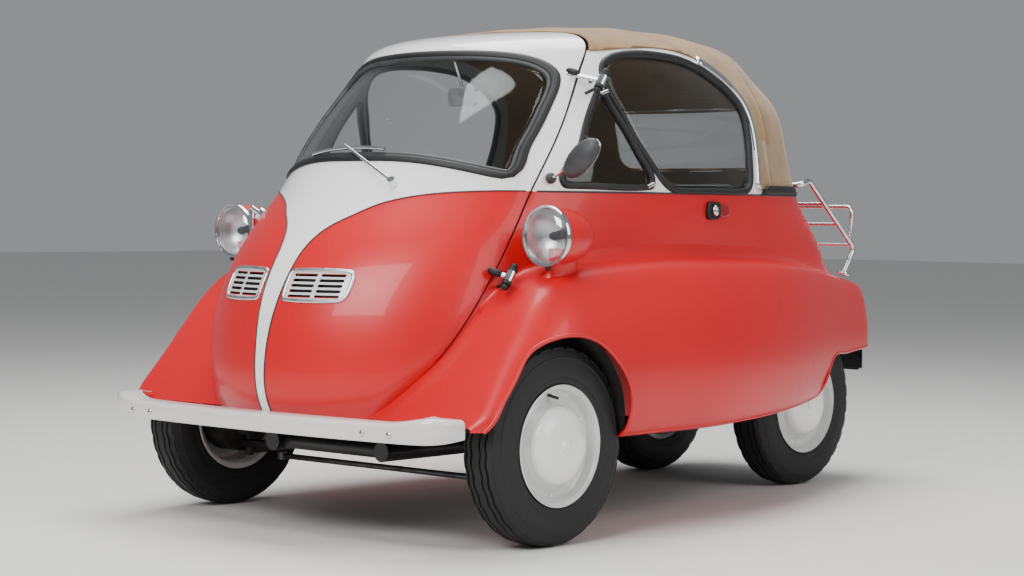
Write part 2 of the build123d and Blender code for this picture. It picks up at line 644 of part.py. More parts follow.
def make_chassis():
    """Ladder frame of two round tubes with cross tubes and the rear axle's bearings."""
    low_z, high_z = FRAME_Z, FRAME_Z + FRAME_KICK
    wide, narrow = FRAME_X, FRAME_REAR_X
    path = [(wide, FRAME_FRONT_Y, low_z), (wide, 300, low_z), (narrow, BULKHEAD_Y + 60, low_z),
            (narrow, 720, high_z), (narrow, FRAME_REAR_Y, high_z)]
    frame = bent_tube(path, FRAME_TUBE_RADIUS, 60)
    frame += mirrored(frame)
    for y in (-840.0, -200.0, 160.0):
        frame += rod((-wide, y, low_z), (wide, y, low_z), FRAME_TUBE_RADIUS - 4)
    frame += rod((-narrow, 1030, high_z), (narrow, 1030, high_z), FRAME_TUBE_RADIUS - 4)
    for side in (1, -1):
        x = side * narrow
        frame += box(x - 12, x + 12, REAR_AXLE_Y - 22, REAR_AXLE_Y + 22, TYRE_RADIUS, high_z)
        frame += disc_x(x - 14, x + 14, REAR_AXLE_Y, TYRE_RADIUS, 34)
        frame -= disc_x(x - 20, x + 20, REAR_AXLE_Y, TYRE_RADIUS, SPINDLE_RADIUS + 0.05)
    return frame


def make_engine():
    """The engine as a plain block at its real size and place."""
    return box(-150, 150, 870, 1005, FRAME_Z + FRAME_KICK + FRAME_TUBE_RADIUS, SHELF_Z)


# ---------------------------------------------------------------- cabin
def make_seat():
    """Seat box, cushion and backrest of the bench."""
    half = SEAT_WIDTH / 2
    floor = FLOOR_Z + FLOOR_THICKNESS + 13
    back_y = SEAT_FRONT_Y + SEAT_DEPTH
    room = hull(BODY_WALL + 4)
    base = box(-half + 20, half - 20, SEAT_FRONT_Y + 30, back_y, floor, SEAT_Z) & room
    cushion = box(-half, half, SEAT_FRONT_Y, back_y, SEAT_Z + SOFT_GAP, SEAT_Z + CUSHION_THICKNESS)
    cushion = fillet(cushion.edges(), SEAT_ROUNDING) & room
    back = box(-half, half, 0, BACK_THICKNESS, 0, BACK_HEIGHT)
    lean = math.radians(BACK_LEAN)
    corner = SEAT_ROUNDING * (math.cos(lean) + math.sin(lean) - 1)
    back = Rot(-BACK_LEAN, 0, 0) * fillet(back.edges(), SEAT_ROUNDING)
    back = Pos(0, back_y + SOFT_GAP - corner, SEAT_Z + 22) * back & room
    return base, cushion, back


def steering_frame():
    """Where the steering wheel's hub and the column's foot are, and the column's direction."""
    hub = Vector(STEERING_X, *STEERING_HUB_YZ)
    foot = Vector(STEERING_X, *STEERING_FOOT_YZ)
    return hub, foot, (hub - foot).normalized()


def make_steering_wheel():
    """Two-spoke steering wheel, its hub and the upper column shaft."""
    hub, foot, direction = steering_frame()
    plane = Plane(origin=hub, x_dir=(1, 0, 0), z_dir=direction)
    wheel = plane * Torus(STEERING_WHEEL_RADIUS, 11)
    wheel += plane * Cylinder(34, 30)
    for angle in (0, 180):
        spoke = Pos(STEERING_WHEEL_RADIUS / 2, 0, -4) * Box(STEERING_WHEEL_RADIUS - 4, 22, 8)
        wheel += plane * Rot(0, 0, angle) * spoke
    shaft_end = hub + (foot - hub) * SHAFT_SHARE
    wheel += rod(tuple(hub), tuple(shaft_end), SHAFT_RADIUS)
    return wheel


def make_steering_column():
    """Column tube and its bracket on the door."""
    hub, foot, direction = steering_frame()
    start = hub - direction * 60
    bore_end = hub + (foot - hub) * (SHAFT_SHARE + 0.01)
    column = rod(tuple(start), tuple(foot), COLUMN_RADIUS + 4)
    column -= rod(tuple(hub), tuple(bore_end), SHAFT_RADIUS + 0.05)
    bracket = rod(tuple(foot + direction * 60), (STEERING_X, -1150, 520), 12) & hull(BODY_WALL)
    return column + bracket


# ---------------------------------------------------------------- outside fittings
def on_nose(skin, x, z):
    """The point of the skin straight behind a place seen from the front, and its outward normal."""
    found = skin.find_intersection_points(Axis((x, -2000, z), (0, 1, 0)))
    return min(found, key=lambda hit: hit[0].Y)


def on_side(skin, y, z, side):
    """The point of the skin seen from one side, and its outward normal."""
    found = skin.find_intersection_points(Axis((side * 2000, y, z), (-side, 0, 0)))
    return max(found, key=lambda hit: side * hit[0].X)


def turned_y(points, x, y, z):
    """A revolved piece along Y from pairs of radius and distance behind its face."""
    face = make_face(Polyline(*[(radius, back) for radius, back in points], close=True))
    return Pos(x, y, z) * revolve(face, Axis.Y, 360)


def make_headlamp():
    """Bullet housing with its bowl and foot, rim and domed lens of the left headlamp."""
    x, y, z = HEADLAMP_X, HEADLAMP_Y, HEADLAMP_Z
    r, length = HEADLAMP_RADIUS, HEADLAMP_LENGTH
    bullet = [
        Edge.make_line((0, 0, 0), (r, 0, 0)),
        Edge.make_three_point_arc((r, 0, 0), (r * 0.86, length * 0.6, 0), (HEADLAMP_TIP, length, 0)),
        Edge.make_line((HEADLAMP_TIP, length, 0), (0, length, 0)),
        Edge.make_line((0, length, 0), (0, 0, 0)),
    ]
    bowl_r, bowl_depth = r - HEADLAMP_WALL, length * 0.42
    bowl = [
        Edge.make_line((0, -1, 0), (bowl_r, -1, 0)),
        Edge.make_three_point_arc((bowl_r, -1, 0), (bowl_r * 0.76, bowl_depth * 0.6, 0),
                                  (HEADLAMP_TIP, bowl_depth, 0)),
        Edge.make_line((HEADLAMP_TIP, bowl_depth, 0), (0, bowl_depth, 0)),
        Edge.make_line((0, bowl_depth, 0), (0, -1, 0)),
    ]
    foot = box(-26, 26, 30, 112, -150, -20)
    pod = revolve(Face(Wire(bullet)), Axis.Y, 360) + foot
    pod = Pos(x, y, z) * (pod - revolve(Face(Wire(bowl)), Axis.Y, 360))
    pod = largest(pod - [flank(0, 1), hull(0)])
    lip = HEADLAMP_WALL + 1
    ring = [(r - lip, 0), (r + 4, 0), (r + 5, -5), (r + 2, -11), (r - 3, -13), (r - lip, -9)]
    rim = turned_y(ring, x, y, z)
    edge = r - lip - 0.3
    glass = [
        Edge.make_line((0, -20, 0), (HEADLAMP_TIP, -20, 0)),
        Edge.make_three_point_arc((HEADLAMP_TIP, -20, 0), (edge * 0.6, -15, 0), (edge, -5, 0)),
        Edge.make_line((edge, -5, 0), (edge, -1, 0)),
        Edge.make_three_point_arc((edge, -1, 0), (edge * 0.6, -11, 0), (HEADLAMP_TIP, -16, 0)),
        Edge.make_line((HEADLAMP_TIP, -16, 0), (0, -16, 0)),
        Edge.make_line((0, -16, 0), (0, -20, 0)),
    ]
    lens = Pos(x, y, z) * revolve(Face(Wire(glass)), Axis.Y, 360)
    return pod, rim, lens


def bumper_outline(inset, end_y):
    """Plan outline of the front bumper, moved inwards, up to its rear ends."""
    half = BUMPER_HALF_WIDTH - inset
    front_y, side_y = BUMPER_FRONT_Y + inset, BUMPER_SIDE_Y + inset
    edges = [
        Edge.make_three_point_arc((-half, side_y, 0), (0, front_y, 0), (half, side_y, 0)),
        Edge.make_line((half, side_y, 0), (half, end_y, 0)),
        Edge.make_line((half, end_y, 0), (-half, end_y, 0)),
        Edge.make_line((-half, end_y, 0), (-half, side_y, 0)),
    ]
    face = Face(Wire(edges))
    corners = [v for v in face.vertices() if v.Y < end_y - 10]
    return fillet(corners, BUMPER_CORNER - inset)


def make_front_bumper():
    """Pressed channel bumper that wraps round both front corners, with its two brackets."""
    low_z = BUMPER_TOP_Z - BUMPER_HEIGHT
    bar = Pos(0, 0, low_z) * extrude(bumper_outline(0, BUMPER_END_Y), BUMPER_HEIGHT)
    top_edges = [edge for edge in bar.edges().filter_by_position(Axis.Z, BUMPER_TOP_Z - 1, BUMPER_TOP_Z + 1)
                 if edge.center().Y < BUMPER_END_Y - 1]
    bar = fillet(top_edges, 2 * BUMPER_WALL)
    room = Pos(0, 0, low_z - 1) * extrude(bumper_outline(BUMPER_WALL, 0), BUMPER_HEIGHT - BUMPER_WALL + 1)
    hole = Pos(0, 0, low_z - 1) * extrude(bumper_outline(BUMPER_FLANGE, 0), BUMPER_HEIGHT + 2)
    bar = bar - [room, hole]
    for side in (1, -1):
        near, far = side * (BUMPER_BRACKET_X - 15), side * (BUMPER_BRACKET_X + 15)
        step_y = BUMPER_FRONT_Y + 80
        strap_z = FRAME_Z + FRAME_TUBE_RADIUS - 5
        bar += box(near, far, BUMPER_FRONT_Y + BUMPER_WALL + 4, step_y, low_z, low_z + 8)
        bar += box(near, far, step_y - 8, step_y, strap_z, low_z + 8)
        bar += box(near, far, step_y - 8, FRAME_FRONT_Y, strap_z, strap_z + 8)
    return bar


def make_rear_bumper():
    """Channel bar with its brackets and the plate holder's sheet with two bolt holes."""
    y = BUMPER_REAR_Y
    bar = box(-300, 300, y - 24, y, 330, REAR_BAR_TOP_Z)
    bar -= box(-301, 301, y - 30, y - BUMPER_WALL, 330 + BUMPER_WALL, REAR_BAR_TOP_Z - BUMPER_WALL)
    sheet_half = PLATE_BOLT_SPACING / 2 + 30
    bar += box(-sheet_half, sheet_half, y - 4, y - 1, REAR_BAR_TOP_Z - 10, PLATE_BOLT_Z + 22)
    for side in (1, -1):
        bar += box(side * 140, side * 165, FRAME_REAR_Y, y - 2, 352, 372)
        hole = rod((side * PLATE_BOLT_SPACING / 2, y - 10, PLATE_BOLT_Z),
                   (side * PLATE_BOLT_SPACING / 2, y + 10, PLATE_BOLT_Z), PLATE_BOLT_RADIUS)
        bar -= hole
    return bar


def make_rack(outer):
    """Luggage rack of bent tube: side rails, the raised hoop at its end, cross bars and slats."""
    x, r = RACK_HALF_WIDTH, RACK_TUBE_RADIUS
    top, corner = (750.0, 916.0), (1000.0, 837.0)
    rail_path = [(x - 30, 640, 880), (x, *top), (x, *corner), (x, 955, 600)]
    rail = largest(bent_tube(rail_path, r, 26) - [outer, flank(0, 1)])
    rack = rail + mirrored(rail)
    hoop_path = [(x, 1000, 837), (x, 1012, RACK_HOOP_Z), (-x, 1012, RACK_HOOP_Z), (-x, 1000, 837)]
    rack += bent_tube(hoop_path, r, 26)
    slope = (corner[1] - top[1]) / (corner[0] - top[0])
    for y in (775.0, 860.0, 975.0):
        z = top[1] + slope * (y - top[0])
        rack += rod((-x, y, z), (x, y, z), r - 1)
    for share in (-0.5, 0.0, 0.5):
        rack += rod((share * x, 775, top[1] + slope * 25), (share * x, 975, top[1] + slope * 225), r - 2)
    return rack


def make_wiper(outer):
    """Pivot boss, arm and curved blade of the single wiper."""
    pivot, normal = on_nose(outer, 174, WIPER_PIVOT_Z)
    elbow, elbow_normal = on_nose(outer, -45, 972)
    boss = rod(tuple(pivot - normal * 1.5), tuple(pivot + normal * 22), 10)
    start, end = pivot + normal * 17, elbow + elbow_normal * 17
    wiper = boss + rod(tuple(start), tuple(end), 4)
    ends = []
    for x, z in ((-181, 954), (-45, 968), (93, 964)):
        point, out = on_nose(outer, x, z)
        ends.append(tuple(point + out * 12))
    path = Edge.make_three_point_arc(*ends)
    seal_room = hull(-3.5) & screen_prism(0)
    blade = sweep(Plane(origin=path @ 0, z_dir=path % 0) * Circle(5), path=path)
    return largest(wiper + blade - [outer, seal_room])


def make_mirrors(outer):
    """Outside mirror on a stalk at the left pillar, and the mirror under the header."""
    base, normal = on_side(outer, MIRROR_Y, MIRROR_Z, 1)
    head = Vector(*MIRROR_HEAD)
    stalk = rod(tuple(base - normal * 3), tuple(base + normal * 18), 9)
    stalk += rod(tuple(base + normal * 14), tuple(head), 4)
    half = MIRROR_LENGTH / 2
    shell = [
        Edge.make_three_point_arc((0, -half, 0), (MIRROR_DEPTH, 0, 0), (0, half, 0)),
        Edge.make_line((0, half, 0), (0, -half, 0)),
    ]
    cap = revolve(Face(Wire(shell)), Axis.Y, 360) - box(-200, 200, -200, 200, -200, 0)
    tilt = Plane(origin=head, x_dir=(0.5, 0.5, -0.5), z_dir=(0.25, -1, 0.1))
    outside = largest(stalk + tilt * cap - outer)
    roof, out = on_nose(outer, INNER_MIRROR_X, HEADER_Z + 20)
    root = roof - out * (BODY_WALL + 3)
    hang = Vector(INNER_MIRROR_X, -440, 1118)
    inside = rod((root.X, root.Y + 22, root.Z - 18), tuple(hang + Vector(0, 0, 20)), 4)
    inside += Pos(hang) * fillet(Box(96, 14, 50).edges().filter_by(Axis.Y), 12)
    inside += rod((root.X, root.Y, root.Z), (root.X, root.Y + 26, root.Z - 20), 7)
    return outside, inside - (outer - cavity(BODY_WALL))


def make_handle(outer):
    """Door handle at the door's free edge: escutcheon and lever."""
    point, normal = on_nose(outer, -HANDLE_X, HANDLE_Z)
    down = Vector(0, 0, -1)
    base = rod(tuple(point - normal * 2), tuple(point + normal * 10), 19)
    neck = rod(tuple(point), tuple(point + normal * 34), 8)
    lever = rod(tuple(point + normal * 32), tuple(point + normal * 30 + down * 88), 7.5)
    return largest(base + neck + lever - outer)


def make_small_lamps(outer):
    """Torpedo side lamps on the pillars and round tail lamps on the tail's end."""
    lamps = []
    skin, _ = on_side(outer, SIDE_LAMP_Y, SIDE_LAMP_Z, 1)
    x = skin.X + 15
    side_lamp = rod((x, SIDE_LAMP_Y - 34, SIDE_LAMP_Z), (x, SIDE_LAMP_Y + 34, SIDE_LAMP_Z), 17)
    side_lamp = fillet(side_lamp.edges(), 12)
    side_lamp += rod((skin.X - 3, SIDE_LAMP_Y, SIDE_LAMP_Z), (x, SIDE_LAMP_Y, SIDE_LAMP_Z), 15)
    lamps += both_sides(largest(side_lamp - outer))
    end_y = FLANK_STATIONS[-1][0]
    tail_lamp = rod((TAIL_LAMP_X, end_y, TAIL_LAMP_Z), (TAIL_LAMP_X, end_y + 24, TAIL_LAMP_Z), 27)
    outer_edge = tail_lamp.edges().sort_by(Axis.Y)[-1]
    lamps += both_sides(fillet([outer_edge], 9))
    return lamps


def make_silencer():
    """Silencer drum across the rear of the frame, with its straps and tail pipe."""
    low = FRAME_Z + 120 - FRAME_TUBE_RADIUS
    y, z, r = 1012.0, low - 46, 40
    drum = fillet(disc_x(-170, 170, y, z, r).edges(), 10)
    drum += rod((-95, y, z), (-95, BUMPER_REAR_Y - 30, z - 8), 15)
    for side in (1, -1):
        drum += box(side * 142, side * 158, y - 10, y + 10, z, low - 0.1)
    return drum


def make_hinges():
    """Door hinges: barrel and arm on the door, pin, ears and boss on the body."""
    lean = math.radians(SEAM_LEAN)
    axis = hinge_axis()
    normal = Vector(0, -math.cos(lean), math.sin(lean))
    door_pieces, body_pieces = [], []
    for z in (HINGE_UPPER_Z, HINGE_LOWER_Z):
        centre = hinge_point(z)
        plane = Plane(origin=centre, x_dir=(1, 0, 0), z_dir=axis)
        door_piece = plane * Cylinder(12, 28)
        door_piece += rod(tuple(centre), tuple(centre + normal * 36 - Vector(90, 0, 0)), 7)
        door_piece -= plane * Cylinder(HINGE_PIN_RADIUS + 0.05, 60)
        door_pieces.append(largest(door_piece - hull(0)))
        body_piece = plane * Cylinder(HINGE_PIN_RADIUS, 46)
        for way in (-1, 1):
            ear = centre + axis * (way * 20)
            body_piece += plane * Pos(0, 0, way * 19) * Cylinder(12, 9)
            body_piece += rod(tuple(ear), tuple(ear - normal * 36 - Vector(90, 0, 0)), 4.5)
        body_piece -= plane * (Cylinder(13, 29) - Cylinder(HINGE_PIN_RADIUS, 29))
        body_pieces.append(largest(body_piece - hull(0)))
    return door_pieces, body_pieces


def main():
    """Build every node and write it."""
    os.makedirs("parts", exist_ok=True)
    outer, inner = hull(0), cavity(BODY_WALL)
    write("chassis_frame", make_chassis())
    write("front_axle_beam", make_axle_beam())
    for side, word in ((1, "left"), (-1, "right")):
        x = side * FRONT_TRACK / 2
        write(f"knuckle_{word}", make_knuckle(side))
        write(f"front_tyre_{word}", make_tyre(x, FRONT_AXLE_Y))
        write(f"front_rim_{word}", make_rim(x, FRONT_AXLE_Y, side))
    write("rear_tyres", *both_sides(make_tyre(REAR_TRACK / 2, REAR_AXLE_Y)))
    write("rear_rims", *both_sides(make_rim(REAR_TRACK / 2, REAR_AXLE_Y, 1)))
    write("tie_rod", make_tie_rod())
    write("rear_axle", make_rear_axle())
    write("engine_block", make_engine())
    write("silencer", make_silencer())
    write("floor_panel", make_floor())
    base, cushion, back = make_seat()
    write("seat_base", base)
    write("seat_cushion", cushion)
    write("seat_back", back)
    write("steering_wheel", make_steering_wheel())
    write("steering_column", make_steering_column())
    for word, shape in zip(("housings", "rims", "lenses"), make_headlamp()):
        write(f"headlamp_{word}", *both_sides(shape))
    write("front_bumper", make_front_bumper())
    write("rear_bumper", make_rear_bumper())
    write("luggage_rack", make_rack(outer))
    write("wiper", make_wiper(outer))
    outside, inside = make_mirrors(outer)
    write("outside_mirror", outside)
    write("interior_mirror", inside)
    write("door_handle", make_handle(outer))
    write("small_lamps", *make_small_lamps(outer))
    write("grilles", *make_grilles())
    door_half, body_half = make_hinges()
    write("hinges_door_side", *door_half)
    write("hinges_body_side", *body_half)
    write("door_panel", make_door(outer, inner))
    cabin, wings, tail = make_body(outer, inner)
    write("cabin_shell", cabin)
    write("front_wings", *wings)
    write("tail_shell", tail)
    for group in (make_glazing(), make_canvas(outer)):
        for name, shape in group.items():
            write(name, shape)


if __name__ == "__main__":
    main()
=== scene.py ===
"""Bubble car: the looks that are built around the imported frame."""

import logging
import math
from collections.abc import Iterable, Iterator, Sequence
from contextlib import contextmanager
from dataclasses import dataclass, field
from enum import Enum

import bpy
import numpy as np
from mathutils import Matrix, Vector
from mathutils.bvhtree import BVHTree


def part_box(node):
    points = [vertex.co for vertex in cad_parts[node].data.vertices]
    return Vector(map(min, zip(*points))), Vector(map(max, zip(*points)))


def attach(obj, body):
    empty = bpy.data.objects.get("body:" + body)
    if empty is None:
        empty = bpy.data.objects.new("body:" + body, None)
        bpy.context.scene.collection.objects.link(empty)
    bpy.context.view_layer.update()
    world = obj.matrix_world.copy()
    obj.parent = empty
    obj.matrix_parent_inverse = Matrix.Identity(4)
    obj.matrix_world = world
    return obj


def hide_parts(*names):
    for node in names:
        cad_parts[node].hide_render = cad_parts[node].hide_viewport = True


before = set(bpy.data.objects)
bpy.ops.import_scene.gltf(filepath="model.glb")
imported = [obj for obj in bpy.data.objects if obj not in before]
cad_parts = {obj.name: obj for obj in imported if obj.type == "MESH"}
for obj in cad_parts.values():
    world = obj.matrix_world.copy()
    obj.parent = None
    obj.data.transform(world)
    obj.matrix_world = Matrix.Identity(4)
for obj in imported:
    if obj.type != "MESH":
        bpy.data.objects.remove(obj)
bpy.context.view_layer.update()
LOG = logging.getLogger("bubble_car")
Piece = bpy.types.Object
Pair = tuple[float, float]
Triple = tuple[float, float, float]
# The car's left and right.
SIDES = (1.0, -1.0)
# Farther out than any part of the car, where a search for its skin starts.
FAR = 3.0
# Points nearer than this are one.
MERGE = 0.00002


# ---------------------------------------------------------------- curves and outlines
def spline(knots: np.ndarray, rows: np.ndarray, at: np.ndarray) -> np.ndarray:
    """Run a smooth cubic through rows of numbers.

    Args:
        knots: Where each row stands, rising.
        rows: One array per knot.
        at: Places to read.

    Returns:
        The rows at those places.
    """
    count, steps = len(knots), np.diff(knots)
    shape = (-1,) + (1,) * (rows.ndim - 1)
    slopes = np.diff(rows, axis=0) / steps.reshape(shape)
    matrix, right = np.zeros((count, count)), np.zeros_like(rows)
    matrix[0, 0] = matrix[-1, -1] = 1.0
    for i in range(1, count - 1):
        matrix[i, i - 1 : i + 2] = steps[i - 1], 2 * (steps[i - 1] + steps[i]), steps[i]
        right[i] = 6 * (slopes[i] - slopes[i - 1])
    bends = np.linalg.solve(matrix, right.reshape(count, -1)).reshape(rows.shape)
    span = np.clip(np.searchsorted(knots, at, side="right") - 1, 0, count - 2)
    width = steps[span].reshape(shape)
    far = (at - knots[span]).reshape(shape) / width
    near = 1 - far
    curve = (near**3 - near) * bends[span] + (far**3 - far) * bends[span + 1]
    return near * rows[span] + far * rows[span + 1] + curve * width**2 / 6


def lengths(rows: np.ndarray) -> np.ndarray:
    """Measure how far along a line each of its points lies."""
    return np.concatenate([[0], np.cumsum(np.linalg.norm(np.diff(rows, axis=0), axis=1))])


def left_of(ahead: np.ndarray) -> np.ndarray:
    """Turn flat directions a quarter to the left, at length one."""
    return np.stack([-ahead[:, 1], ahead[:, 0]], 1) / np.linalg.norm(ahead, axis=1, keepdims=True)


def corners(left: float, right: float, low: float, high: float) -> list[Pair]:
    """List a rectangle's corners."""
    return [(left, low), (right, low), (right, high), (left, high)]


def mirrored(outline: Iterable[Pair], side: float = -1.0) -> list[Pair]:
    """Put an outline on a side of the car."""
    return [(side * x, z) for x, z in outline]


def grid_faces(rows: int, across: int, ring: bool = False, tube: bool = False) -> list[tuple[int, ...]]:
    """Number the faces between rows of points.

    Args:
        rows: How many rows there are.
        across: Points in a row.
        ring: Whether a row's ends meet.
        tube: Whether the last row meets the first.

    Returns:
        Four point numbers for each face.
    """
    steps = range(across if ring else across - 1)
    made = []
    for i in range(rows if tube else rows - 1):
        near, far = i * across, (i + 1) % rows * across
        made += [(near + j, near + (j + 1) % across, far + (j + 1) % across, far + j) for j in steps]
    return made


def along(points: Sequence[Sequence[float]], count: int) -> np.ndarray:
    """Space points evenly on a smooth curve through a few of them.

    Args:
        points: Points that the curve passes.
        count: How many to return.

    Returns:
        The points on the curve.
    """
    rows = np.array(points, float)
    knots = lengths(rows)
    return spline(knots, rows, np.linspace(0, knots[-1], count))


def arc(first: Pair, middle: Pair, last: Pair, count: int) -> np.ndarray:
    """Put points on the circle through three points.

    Args:
        first: Where it starts.
        middle: A point that it passes.
        last: Where it ends.
        count: Number of steps.

    Returns:
        Points from first to last.
    """
    p, q, r = (complex(*point) for point in (first, middle, last))
    w = (r - p) / (q - p)
    centre = p + (q - p) * (w - abs(w) ** 2) / (2j * w.imag)
    start, half, end = (np.angle(point - centre) for point in (p, q, r))
    half = start + (half - start + np.pi) % (2 * np.pi) - np.pi
    end = half + (end - half + np.pi) % (2 * np.pi) - np.pi
    turn = centre + abs(p - centre) * np.exp(1j * np.linspace(start, end, count + 1))
    return np.stack([turn.real, turn.imag], 1)


def averaged(rows: np.ndarray) -> np.ndarray:
    """Average each point with two neighbours on either side, without the two points at each end."""
    return (rows[:-4] + 4 * rows[1:-3] + 6 * rows[2:-2] + 4 * rows[3:-1] + rows[4:]) / 16


def soften(rows: np.ndarray, passes: int) -> np.ndarray:
    """Round the corners of half outlines that are mirrored at both ends.

    Args:
        rows: Points along axis 0, with X first in the last axis.
        passes: How often they are averaged.

    Returns:
        The rounded half outlines.
    """
    flip = np.ones(rows.shape[-1])
    flip[0] = -1
    for _ in range(passes):
        rows = averaged(np.concatenate([rows[1:3][::-1] * flip, rows, rows[-3:-1][::-1] * flip]))
    return rows


def rounding(before: Vector, here: Vector, after: Vector, radius: float, steps: int) -> list[Vector]:
    """Round the corner between three points.

    Args:
        before: The point before the corner.
        here: The corner.
        after: The point after it.
        radius: The rounding's radius.
        steps: Number of steps in it.

    Returns:
        Points on the rounding.
    """
    back, ahead = (before - here).normalized(), (after - here).normalized()
    opening = back.angle(ahead)
    reach = radius / math.tan(opening / 2)
    centre = here + (back + ahead).normalized() * radius / math.sin(opening / 2)
    first, last = here + back * reach - centre, here + ahead * reach - centre
    return [centre + first.lerp(last, k / steps).normalized() * radius for k in range(steps + 1)]


def rounded(outline: Sequence[Pair], radius: float | Sequence[float], steps: int = 6) -> list[Pair]:
    """Round a closed outline's corners.

    Args:
        outline: Its corners in order.
        radius: One radius, or one for each corner.
        steps: Points in each rounding.

    Returns:
        The rounded outline.
    """
    radii = [radius] * len(outline) if isinstance(radius, (int, float)) else list(radius)
    rows = [Vector(point) for point in outline]
    around = zip(rows[-1:] + rows[:-1], rows, rows[1:] + rows[:1], radii, strict=True)
    return [tuple(point) for *three, bend in around for point in rounding(*three, bend, steps)]


# ---------------------------------------------------------------- mesh work
def select_only(piece: Piece) -> None:
    """Make one piece active and select nothing else."""
    if bpy.context.object and bpy.context.object.mode != "OBJECT":
        bpy.ops.object.mode_set(mode="OBJECT")
    bpy.ops.object.select_all(action="DESELECT")
    piece.select_set(True)
    bpy.context.view_layer.objects.active = piece


@contextmanager
def editing(piece: Piece) -> Iterator[None]:
    """Hold a piece in edit mode with all of it selected."""
    select_only(piece)
    bpy.ops.object.mode_set(mode="EDIT")
    bpy.ops.mesh.select_all(action="SELECT")
    yield
    bpy.ops.object.mode_set(mode="OBJECT")


def linked(name: str, data: bpy.types.ID) -> Piece:
    """Put new data in the scene as an object."""
    piece = bpy.data.objects.new(name, data)
    bpy.context.scene.collection.objects.link(piece)
    return piece


def mesh_piece(name: str, points: Iterable, faces: Iterable, smooth: bool = True) -> Piece:
    """Make a piece from points and faces.

    Args:
        name: The piece's name.
        points: Its vertices.
        faces: Its faces.
        smooth: Whether it is shaded smooth.

    Returns:
        The piece, at the origin.
    """
    mesh = bpy.data.meshes.new(name)
    mesh.from_pydata([tuple(map(float, p)) for p in points], [], [tuple(map(int, f)) for f in faces])
    mesh.validate()
    if smooth:
        mesh.shade_smooth()
    return linked(name, mesh)


def copied(piece: Piece, name: str) -> Piece:
    """Copy a piece with a mesh of its own."""
    return linked(name, piece.data.copy())


def modify(piece: Piece, kind: str, **settings: object) -> None:
    """Add a modifier with its settings and apply it.

    Args:
        piece: The piece.
        kind: The modifier's type.
        **settings: Its settings.
    """
    select_only(piece)
    bpy.ops.object.modifier_add(type=kind)
    added = piece.modifiers[-1]
    for key, value in settings.items():
        setattr(added, key, value)
    bpy.ops.object.modifier_apply(modifier=added.name)


def cut(piece: Piece, cutter: Piece, operation: str = "DIFFERENCE", keep: bool = False) -> None:
    """Cut a piece with another, which is then removed.

    Args:
        piece: What is cut.
        cutter: The closed piece that cuts.
        operation: DIFFERENCE, INTERSECT or UNION.
        keep: Whether the cutter stays for another cut.
    """
    modify(piece, "BOOLEAN", object=cutter, operation=operation, solver="EXACT")
    if not keep:
        bpy.data.objects.remove(cutter)


def slice_off(piece: Piece, place: Sequence[float], normal: Sequence[float]) -> None:
    """Remove what lies on the normal's side of a plane from an open skin."""
    with editing(piece):
        bpy.ops.mesh.bisect(plane_co=tuple(place), plane_no=tuple(normal), clear_outer=True)


def joined(pieces: Sequence[Piece], name: str) -> Piece:
    """Join pieces into the first one.

    Args:
        pieces: What is joined.
        name: The joined piece's name.

    Returns:
        The joined piece.
    """
    select_only(pieces[0])
    for piece in pieces:
        piece.select_set(True)
    if len(pieces) > 1:
        bpy.ops.object.join()
    pieces[0].name = pieces[0].data.name = name
    return pieces[0]


class Along(Enum):
    """The axis that a prism runs along, with the place of its two outline coordinates."""

    X = (1, 2)
    Y = (0, 2)
    Z = (0, 1)

    def place(self, first: float, second: float, far: float) -> list[float]:
        """Order two outline coordinates and a distance along the axis as X, Y and Z."""
        made = [far, far, far]
        made[self.value[0]], made[self.value[1]] = first, second
        return made


def prism(outline: Sequence[Pair], run: Along, low: float, high: float) -> Piece:
    """Extrude a flat outline into a closed block.

    Args:
        outline: Its points, in the two other axes' order.
        run: The axis that it runs along.
        low: Where it starts.
        high: Where it ends.

    Returns:
        The block.
    """
    points = [run.place(*point, low) for point in outline]
    piece = mesh_piece("prism", points, [range(len(points))], smooth=False)
    with editing(piece):
        bpy.ops.mesh.extrude_region_move(TRANSFORM_OT_translate={"value": run.place(0.0, 0.0, high - low)})
        bpy.ops.mesh.select_all(action="SELECT")
        bpy.ops.mesh.normals_make_consistent(inside=False)
    return piece


def block(x: Pair, y: Pair, z: Pair) -> Piece:
    """Make a plain cutting block between limits on the three axes."""
    return prism(corners(*x, *y), Along.Z, *z)


def tube(name: str, points: Sequence[Sequence[float]], radius: float, closed: bool = False,
         smooth: bool = False, sides: int = 3) -> Piece:
    """Sweep a round bar along points.

    Args:
        name: The piece's name.
        points: The points of its middle line.
        radius: Half its thickness.
        closed: Whether it is a ring.
        smooth: Whether it follows a smooth curve near the points.
        sides: Resolution of its round section.

    Returns:
        The bar as a mesh.
    """
    curve = bpy.data.curves.new(name, "CURVE")
    curve.dimensions = "3D"
    line = curve.splines.new("NURBS" if smooth else "POLY")
    line.points.add(len(points) - 1)
    for knot, point in zip(line.points, points, strict=True):
        knot.co = (*point, 1.0)
    line.use_cyclic_u = closed
    if smooth:
        line.order_u = 4
        line.use_endpoint_u = not closed
    curve.bevel_depth = radius
    curve.bevel_resolution = sides
    curve.use_fill_caps = True
    select_only(linked(name, curve))
    bpy.ops.object.convert(target="MESH")
    piece = bpy.context.object
    piece.data.shade_smooth()
    return piece


